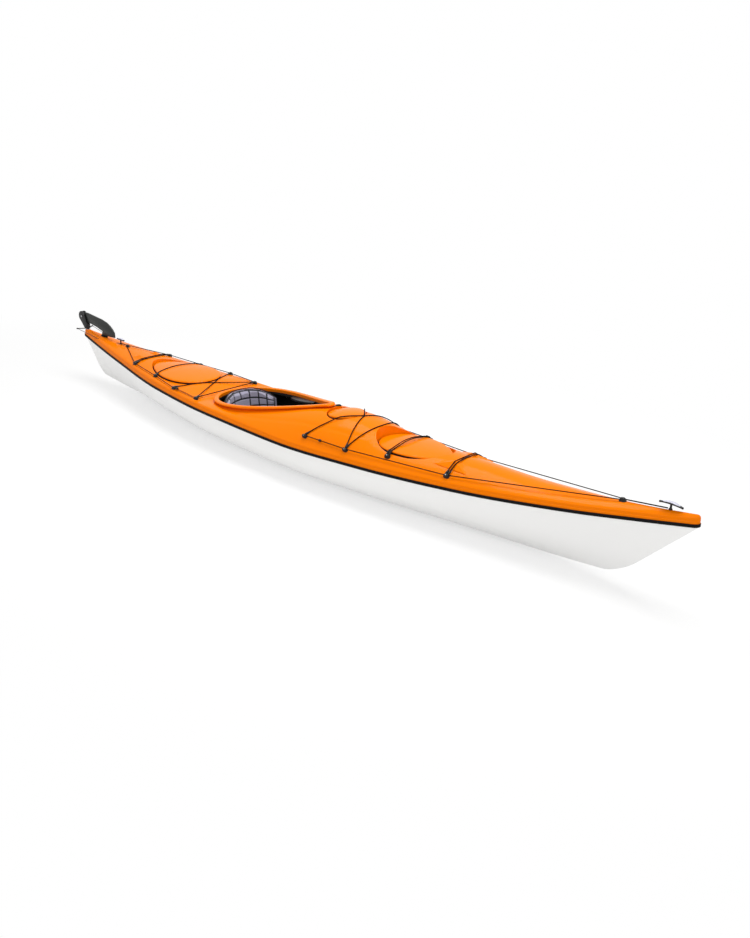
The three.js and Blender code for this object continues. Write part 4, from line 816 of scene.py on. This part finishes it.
def bent(name, points, radius, material, body, closed=False):
    """A round curve along points in metres, with its radius in millimetres."""
    curve = bpy.data.curves.new(name, "CURVE")
    curve.dimensions = "3D"
    curve.bevel_depth = radius * MM
    curve.bevel_resolution = 3
    curve.use_fill_caps = not closed
    spline = curve.splines.new("POLY")
    spline.points.add(len(points) - 1)
    for p, at in zip(spline.points, points):
        p.co = (*at, 1)
    spline.use_cyclic_u = closed
    spline.use_smooth = True
    curve.materials.append(material)
    obj = placed(name, curve)
    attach(obj, body)
    return obj


def cord(name, node, points, diameter, first):
    """A braided cord or a cable along a route."""
    pts = smooth_route(points)
    steel = "cable" in node
    obj = bent(name, pts, diameter / 2, COATED if steel else CORD, "kayak")
    if first:
        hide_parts(node)


CLIP_ROWS = [(-3, 2), (-2.4, 4.8), (0, 6.2), (9, 6.4), (18, 5.2), (26, 4.3), (28.4, 3.9), (29, 2.6)]
count = {}
for node, diameter, points in ROUTES:
    count[node] = count.get(node, 0) + 1
    cord(f"{node}_{count[node]}", node, points, diameter, count[node] == 1)
    if "bungee" not in node and "strap" not in node:
        continue
    for end, run in (("near", points), ("far", points[::-1])):
        start = Vector(run[0])
        ahead = next((Vector(p) for p in run if (Vector(p) - start).length > 0.024), Vector(run[-1]))
        lathe(f"{node}_{count[node]}_clip_{end}", start / MM, ahead - start, CLIP_ROWS, "kayak", sides=16)

# Deck fittings: an oval foot, a rounded body and a countersunk screw, square to the deck
FITTINGS = {
    "fore_1": (0.0814, 0.824), "fore_2": (0.2059, 0.773), "bow_hatch": (0.314, 0.597),
    "bow_ridge": (0.4737, 0.536), "aft_1": (-776 / HALF, 0.814), "aft_2": (-0.428, 0.78),
    "stern_hatch": (-0.536, 0.624), "stern_ridge": (-0.6568, 0.481)}
FITTING_RINGS = [(1.0, -0.12), (1.0, 0.07), (0.97, 0.13), (0.9, 0.18), (0.84, 0.24), (0.8, 0.42), (0.77, 0.6),
                 (0.7, 0.76), (0.58, 0.88), (0.44, 0.95), (0.31, 0.97), (0.27, 0.93), (0.24, 0.86)]
SCREW_RINGS = [(0.24, 0.86), (0.235, 0.91), (0.2, 0.935), (0.11, 0.945), (0.1, 0.9), (0.04, 0.9)]


def rounded_turn(turn, power):
    """A point of a circle pushed out towards a square."""
    return [math.copysign(abs(v) ** power, v) for v in (math.cos(turn), math.sin(turn))]


def fitting(name, x, y, node=None):
    long, wide, tall = 18.5, 12.0, 18.0
    slope_x = (deck_top(x + 1, y) - deck_top(x - 1, y)) / 2
    slope_y = (deck_top(x, y + 1) - deck_top(x, y - 1)) / 2
    upward = Vector((-slope_x, -slope_y, 1)).normalized()
    along = Vector((1, 0, slope_x)).normalized()
    aside = upward.cross(along)
    foot = Vector((x, y, deck_top(x, y)))

    def rings(rows):
        out = []
        for share, height in rows:
            squared = 2.6 if share > 0.5 else 2.0
            blunt = wide / long if share <= 0.31 else 1.0
            ring = []
            for turn in turns(28):
                c, s = rounded_turn(turn, 2 / squared)
                ring.append(tuple(foot + along * (long * share * c * blunt) + aside * (wide * share * s)
                                  + upward * (tall * height)))
            out.append(ring)
        return loft(out)
    body = make(name, rings(FITTING_RINGS), BLACK, angle=40, replaces=[node] if node else ())
    screw = make(f"{name}_screw", rings(SCREW_RINGS), STEEL, angle=30)


for name, (along, wide) in FITTINGS.items():
    for side, word in ((1, "port"), (-1, "starboard")):
        node = f"{name}_fitting_{word}"
        stands_for = node if node in frame["nodes"] else None
        fitting(f"{name}_eye_{word}", along * HALF, side * wide * BEAM, stands_for)
fitting("stern_centre_eye", -1840, 0, "stern_centre_fitting")
fitting("bow_centre_eye", 1995, 0)

BEAD_ROWS = [(-8, 3.2), (-7.6, 4.6), (-6.6, 5.8), (-4.5, 6.7), (-1, 7), (1, 7), (4.5, 6.7), (6.6, 5.8),
             (7.6, 4.6), (8, 3.2)]
KNOB_ROWS = [(-10, 3), (-9.6, 4.6), (-8, 5.6), (-5, 6), (-3, 5), (-1, 4.7), (2, 4.9), (4, 5.8), (7, 6.5),
             (9, 5.9), (9.8, 4.4), (10, 3)]
lathe("fore_line_bead", middle("line_bead"), (0.2938, 0.0151, -0.0004), BEAD_ROWS, "line_bead", ["line_bead"])
lathe("lift_line_knob", middle("rudder_lift_knob"), (0.14, -0.0056, -0.0054), KNOB_ROWS, "rudder_lift_knob",
      ["rudder_lift_knob"])


def bar(name, body, x, z, half, droop, wide, thick, material, top=False):
    """A handle's winged bar: broad and flat in the middle, thin and drooping at its ends."""
    rings = []
    for s in np.linspace(-1, 1, 33):
        reach = 1 - abs(s) ** 2.4
        w = mix(wide * 0.36, wide, reach)
        t = mix(thick * 0.7, thick, reach)
        lift = z - droop * s * s + t * (0.6 if top else -0.3)
        t *= 0.62 if top else 0.95
        # The top copy, narrower and raised, is the painted highlight.
        if top:
            w *= 0.76
        shrink = 0.25 if abs(s) > 0.999 else 1.0
        ring = []
        for turn in turns(20):
            ring.append((x + s * half * (0.84 if top else 1), math.cos(turn) * w * shrink,
                         lift + math.sin(turn) * t * shrink))
        rings.append(ring)
    piece = make(name, loft(rings), material, body, 45)
    return piece


BALL_ROWS = [(-5, 1.5), (-4.4, 3.4), (-2.6, 4.9), (0, 5.5), (2.6, 4.9), (4, 3.4), (4.4, 1.5)]


def toggle(end, x, z, half, droop, wide, thick):
    body = f"{end}_toggle"
    wing = bar(f"{end}_handle_bar", body, x, z, half, droop, wide, thick, BLACK)
    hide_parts(f"{end}_toggle")
    # Painted highlight on the toggle's top.
    bar(f"{end}_handle_highlight", body, x, z, half, droop, wide, thick, PAINTED_HIGHLIGHT, top=True)
    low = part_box(f"{end}_toggle")[0][2] / MM
    foot = low + 12
    for side in (-1, 1):
        word = "fore" if side > 0 else "aft"
        lathe(f"{end}_handle_ball_{word}", (x + side * (half - 4), 0, z - droop), (1, 0, 0), BALL_ROWS, body)
    lathe(f"{end}_handle_stem", (x, 0, 0), (0, 0, 1), [
        (low, 4.6), (foot, 4.6), (foot + 0.2, 8.6), (foot + 2.6, 8.9), (foot + 4, 7.6), (foot + 7, 5.2),
        (z - 12, 4.8), (z - 6, 6.2), (z - 1, 9)], body)


toggle("bow", x=2221, z=478.0, half=56.5, droop=9.0, wide=14.0, thick=5.5)
toggle("stern", x=-1922, z=362.0, half=42.0, droop=4.0, wide=12.5, thick=6.0)

# Tether behind the middle hatch: a thin strap that ends in a broad grip
TETHER_FROM, TETHER_TO = Vector((148, 12)), Vector((169, 68))
TETHER_ROWS = [(0, 2, 1.4), (3, 3.2, 2), (20, 3.2, 2), (24, 5.5, 3.5), (29, 8.5, 5.5), (46, 9.5, 6),
               (55, 7.5, 5), (60, 3, 2.4)]
along = (TETHER_TO - TETHER_FROM).normalized()
across = Vector((-along.y, along.x))
rings = []
for reach, half_wide, half_tall in TETHER_ROWS:
    at = TETHER_FROM + along * reach
    base = deck_top(at.x, at.y) + half_tall - 0.6
    rings.append([(at.x + across.x * half_wide * math.cos(t), at.y + across.y * half_wide * math.cos(t),
                   base + half_tall * math.sin(t)) for t in turns(16)])
make("pod_hatch_tether", loft(rings), BLACK, "kayak", 40)

# Mouldings and metalwork kept from the part, with their edges rounded
BEVELS = [("rudder_head", 2.0), ("rudder_yoke", 1.0), ("rudder_gudgeon", 0.7), ("rudder_rest", 0.8)]
BEVELS += [(f"{name}_{side}", width) for name, width in (
    ("foot_rail", 0.8), ("foot_pedal", 1.0), ("toe_pedal", 1.0), ("thigh_brace", 2.0))
    for side in ("port", "starboard")]
BEVELS += [("backrest_shell", 0.8), ("seat_pan", 1.5), ("pod_tub", 0.7)]
for node, width in BEVELS:
    bevelled(node, width)
bevelled("rudder_blade", 2.2, BLADE)

# Backrest: a swollen pad, then its grooves pushed in along the panels and darkened with painted shade
REST_X, REST_ARC, REST_BASE, REST_TALL, REST_LEAN = -640.0, 226.0, 122.0, 175.0, 22.0
REST_TURN = math.radians(65)
REST_ARCH, REST_RISE, REST_PAD = 0.38, 0.26, 26.0
REST_COLUMNS = [-0.93, -0.74, -0.52, -0.27, 0.27, 0.52, 0.74, 0.93]
REST_ROWS = [0.07, 0.36, 0.66, 0.93]
GROOVE_DEEP, GROOVE_WIDE = 7.5, 5.0
GROOVE_ARC, GROOVE_RISE = 210, 150


def rest_point(u, v, radius):
    turn = u * REST_TURN
    bend = (math.sin(turn) / math.sin(REST_TURN)) ** 4
    height = REST_TALL * mix(REST_RISE * bend, 1 - REST_ARCH * bend, v)
    return (REST_X + REST_ARC - radius * math.cos(turn) - REST_LEAN * height / REST_TALL,
            radius * math.sin(turn), REST_BASE + height)


def rest_place(p):
    """Panel coordinates and radius of a point of the backrest, in millimetres."""
    height = p[2] - REST_BASE
    deep = REST_X + REST_ARC - REST_LEAN * height / REST_TALL - p[0]
    turn = math.atan2(p[1], deep)
    bend = (math.sin(turn) / math.sin(REST_TURN)) ** 4
    v = (height / REST_TALL - REST_RISE * bend) / (1 - (REST_ARCH + REST_RISE) * bend)
    return turn / REST_TURN, v, math.hypot(p[1], deep)


def slab(columns, rows, front, back):
    """A closed pad between two faces over panel coordinates, with rounded borders."""
    grid = [[(2 * i / columns - 1, j / rows) for i in range(columns + 1)] for j in range(rows + 1)]
    verts = [front(u, v) for row in grid for u, v in row] + [back(u, v) for row in grid for u, v in row]
    n = (columns + 1) * (rows + 1)
    faces = []
    for j in range(rows):
        for i in range(columns):
            a = j * (columns + 1) + i
            b, c, d = a + 1, a + columns + 2, a + columns + 1
            faces += [(a, b, c, d), (n + a, n + d, n + c, n + b)]
    edge = [j * (columns + 1) for j in range(rows + 1)]
    edge += [rows * (columns + 1) + i for i in range(1, columns + 1)]
    edge += [j * (columns + 1) + columns for j in range(rows - 1, -1, -1)]
    edge += [i for i in range(columns - 1, 0, -1)]
    for a, b in zip(edge, edge[1:] + edge[:1]):
        faces.append((a, b, n + b, n + a))
    return verts, faces


SWELL_FRAMES = 20


def puffed(obj, voxel, pressure, cap):
    """Remeshes a pad, swells it as cloth under a little pressure and keeps how far it moved within a cap."""
    remesh = obj.modifiers.new("even", "REMESH")
    remesh.mode = "VOXEL"
    remesh.voxel_size = voxel
    even = applied(obj)
    rest = np.array([v.co for v in even.vertices])
    moved = rest
    cloth = obj.modifiers.new("swell", "CLOTH")
    for key, value in dict(use_pressure=True, uniform_pressure_force=pressure, mass=0.15,
                           tension_stiffness=12, compression_stiffness=12, bending_stiffness=0.6).items():
        setattr(cloth.settings, key, value)
    cloth.settings.effector_weights.gravity = 0
    cloth.point_cache.frame_start = 1
    cloth.point_cache.frame_end = SWELL_FRAMES
    for step in range(1, SWELL_FRAMES + 1):
        bpy.context.scene.frame_set(step)
    swollen = obj.evaluated_get(bpy.context.evaluated_depsgraph_get())
    moved = np.array([v.co for v in swollen.data.vertices])
    obj.modifiers.clear()
    bpy.context.scene.frame_set(1)
    shift = moved - rest
    far = np.linalg.norm(shift, axis=1)[:, None]
    shift *= np.minimum(1, cap / np.maximum(far, 1e-9))
    for vertex, place in zip(even.vertices, rest + shift):
        vertex.co = place
    subdivided = obj.modifiers.new("finer", "SUBSURF")
    subdivided.levels = 1
    applied(obj)


def rest_front(u, v):
    edge = min(1, (1 - abs(u)) * 230 / 26, (0.5 - abs(v - 0.5)) * 175 / 22)
    return rest_point(u, v, REST_ARC - 3 - (REST_PAD - 8) * math.sqrt(max(1 - (1 - edge) ** 2, 0)))


def groove(u, v):
    """How deep the pad is pushed in at a place, for the panels that the backrest is divided into."""
    turn = abs(u)
    across = min(abs(turn - abs(c)) for c in REST_COLUMNS) * REST_TURN * GROOVE_ARC
    if v > REST_ROWS[2]:
        across = min(across, turn * REST_TURN * GROOVE_ARC)
    upward = min(abs(v - r) for r in REST_ROWS[2:]) * GROOVE_RISE
    if turn > abs(REST_COLUMNS[4]):
        upward = min(upward, min(abs(v - r) for r in REST_ROWS[:2]) * GROOVE_RISE)
    near = min(across, upward)
    if v > REST_ROWS[3] or turn > abs(REST_COLUMNS[7]):
        near = min(abs(v - REST_ROWS[3]) * GROOVE_RISE, 99) if turn <= abs(REST_COLUMNS[7]) else across
    return GROOVE_DEEP * math.exp(-(near / GROOVE_WIDE) ** 2)


pad = blank("backrest_quilt", slab(96, 48, rest_front, lambda u, v: rest_point(u, v, REST_ARC - 1.5)))
puffed(pad, 0.0045, 3.0, 0.006)
for vertex in pad.data.vertices:
    u, v, radius = rest_place([c / MM for c in vertex.co])
    inner = radius < REST_ARC - 8
    radius = min(radius, REST_ARC - 0.5)
    if inner:
        radius += groove(u, v)
    radius = max(radius, REST_ARC - REST_PAD + 0.3)
    vertex.co = Vector(rest_point(clamp(u, -0.995, 0.995), clamp(v, 0.005, 0.995), radius)) * MM
pad_mesh = pad.data
# Painted shade in the grooves: a mask that is strongest where a groove is deepest.
sunk = pad_mesh.attributes.new("groove_shade", "FLOAT", "POINT")
for vertex, value in zip(pad_mesh.vertices, sunk.data):
    u, v, radius = rest_place([c / MM for c in vertex.co])
    inner = radius < REST_ARC - 6
    value.value = clamp(groove(u, v) / GROOVE_DEEP * 2.2 - 0.6) if inner else 0.0
bpy.data.objects.remove(pad)
quilt = finish_mesh("backrest_quilt", pad_mesh, FABRIC, "backrest", 60, ["backrest_pad"], False)

border = [(u, 0.995) for u in np.linspace(-0.985, 0.985, 70)]
border += [(0.992, v) for v in np.linspace(0.97, 0.03, 24)]
border += [(u, 0.005) for u in np.linspace(0.985, -0.985, 70)]
border += [(-0.992, v) for v in np.linspace(0.03, 0.97, 24)]
border_points = [[c * MM for c in rest_point(u, v, REST_ARC - 4)] for u, v in border]
binding = bent("backrest_binding", border_points, 2.8, PIPING, "backrest", closed=True)

# Seat cushion
SEAT_X, SEAT_LONG, SEAT_WIDE, SEAT_Z = -462.0, 129.6, 133.2, 40.7


def seat_ring(share, z):
    ring = []
    for turn in turns(64):
        c, s = rounded_turn(turn, 0.5)
        ring.append((SEAT_X + SEAT_LONG * share * c, SEAT_WIDE * share * s, z))
    return ring


CUSHION_ROWS = [(0.1, 0.6), (0.9, 0.6), (0.96, 2.4), (0.975, 6), (0.95, 10.5), (0.86, 14), (0.6, 16),
                (0.3, 16.4), (0.05, 16.5)]
cushion = blank("seat_pad", loft([seat_ring(s, SEAT_Z + h) for s, h in CUSHION_ROWS]))
puffed(cushion, 0.006, 2.5, 0.004)
for vertex in cushion.data.vertices:
    x, y, z = (c / MM for c in vertex.co)
    reach = max(abs(x - SEAT_X) / SEAT_LONG, abs(y) / SEAT_WIDE)
    if z > SEAT_Z + 8:
        z -= 3.2 * math.exp(-((abs(y) - 62) / 4) ** 2) * (reach < 0.9)
        z -= 3.2 * math.exp(-(abs(y) / 4) ** 2) * (reach < 0.9)
        z -= 2.4 * math.exp(-((reach - 0.84) / 0.03) ** 2)
    vertex.co.z = clamp(z, SEAT_Z + 0.2, SEAT_Z + 19.8) * MM
seat_mesh = cushion.data
bpy.data.objects.remove(cushion)
cushion = finish_mesh("seat_pad", seat_mesh, FOAM, "kayak", 60, ["seat_cushion"], False)


# Floor and light
def shown_as_white(tree):
    """One for the rays that show the background: those of the camera, of gloss and through glass."""
    rays = tree.nodes.new("ShaderNodeLightPath").outputs
    total = rays["Is Camera Ray"]
    for kind in ("Is Glossy Ray", "Is Transmission Ray"):
        total = added(tree, "Math", {0: total, 1: rays[kind]}, operation="MAXIMUM").outputs["Value"]
    return total


floor_material = bpy.data.materials.new("floor")
floor_material.use_nodes = True
tree = floor_material.node_tree
plain = tree.nodes["Principled BSDF"]
feed(tree, plain, {"Base Color": (0.9, 0.9, 0.9, 1), "Roughness": 0.95, "Specular IOR Level": 0.1})
glow = added(tree, "Emission", {"Color": (1, 1, 1, 1), "Strength": 1.0})
ground = tree.nodes.new("ShaderNodeTexCoord")
squeezed = added(tree, "VectorMath", {0: ground.outputs["Object"], 1: (0.55, 1, 1)}, operation="MULTIPLY")
off = added(tree, "VectorMath", {0: squeezed.outputs["Vector"]}, operation="LENGTH")
fade = added(tree, "MapRange", {"From Min": 0.9, "From Max": 2.4, "To Min": 0.62, "To Max": 1.0,
                                "Value": off.outputs["Value"]})
share = added(tree, "Math", {0: shown_as_white(tree), 1: fade.outputs["Result"]}, operation="MULTIPLY")
blendin = added(tree, "MixShader", {"Fac": share.outputs["Value"], 1: plain.outputs["BSDF"],
                                    2: glow.outputs["Emission"]})
feed(tree, tree.nodes["Material Output"], {"Surface": blendin.outputs["Shader"]})
FAR = 30000
floor = make("floor", ([(-FAR, -FAR, 0), (FAR, -FAR, 0), (FAR, FAR, 0), (-FAR, FAR, 0)], [(0, 1, 2, 3)]),
             floor_material, None)
floor.location.z = -0.0005

world = bpy.data.worlds.new("world")
bpy.context.scene.world = world
world.use_nodes = True
tree = world.node_tree
sky = tree.nodes["Background"]
feed(tree, sky, {"Color": (1.0, 0.99, 0.98, 1), "Strength": 0.5})
white_sky = added(tree, "Background", {"Color": (1, 1, 1, 1), "Strength": 1.0})
either = added(tree, "MixShader", {"Fac": shown_as_white(tree), 1: sky.outputs["Background"],
                                   2: white_sky.outputs["Background"]})
feed(tree, tree.nodes["World Output"], {"Surface": either.outputs["Shader"]})


def area(name, place, aim, size, power):
    data = bpy.data.lights.new(name, "AREA")
    data.shape = "RECTANGLE"
    data.size, data.size_y = size
    data.energy = power
    lamp = placed(name, data)
    lamp.location = place
    lamp.rotation_euler = (Vector(aim) - Vector(place)).to_track_quat("-Z", "Y").to_euler()


area("key", (1.5, -4.5, 4.5), (0.2, 0, 0.2), (5.0, 1.6), 55)
area("top", (0.0, 0.8, 4.2), (0, 0, 0.2), (6.0, 2.0), 190)
area("fill", (5.5, -1.0, 2.2), (0.8, 0, 0.2), (2.5, 2.0), 20)

bpy.context.scene.view_settings.view_transform = "Standard"
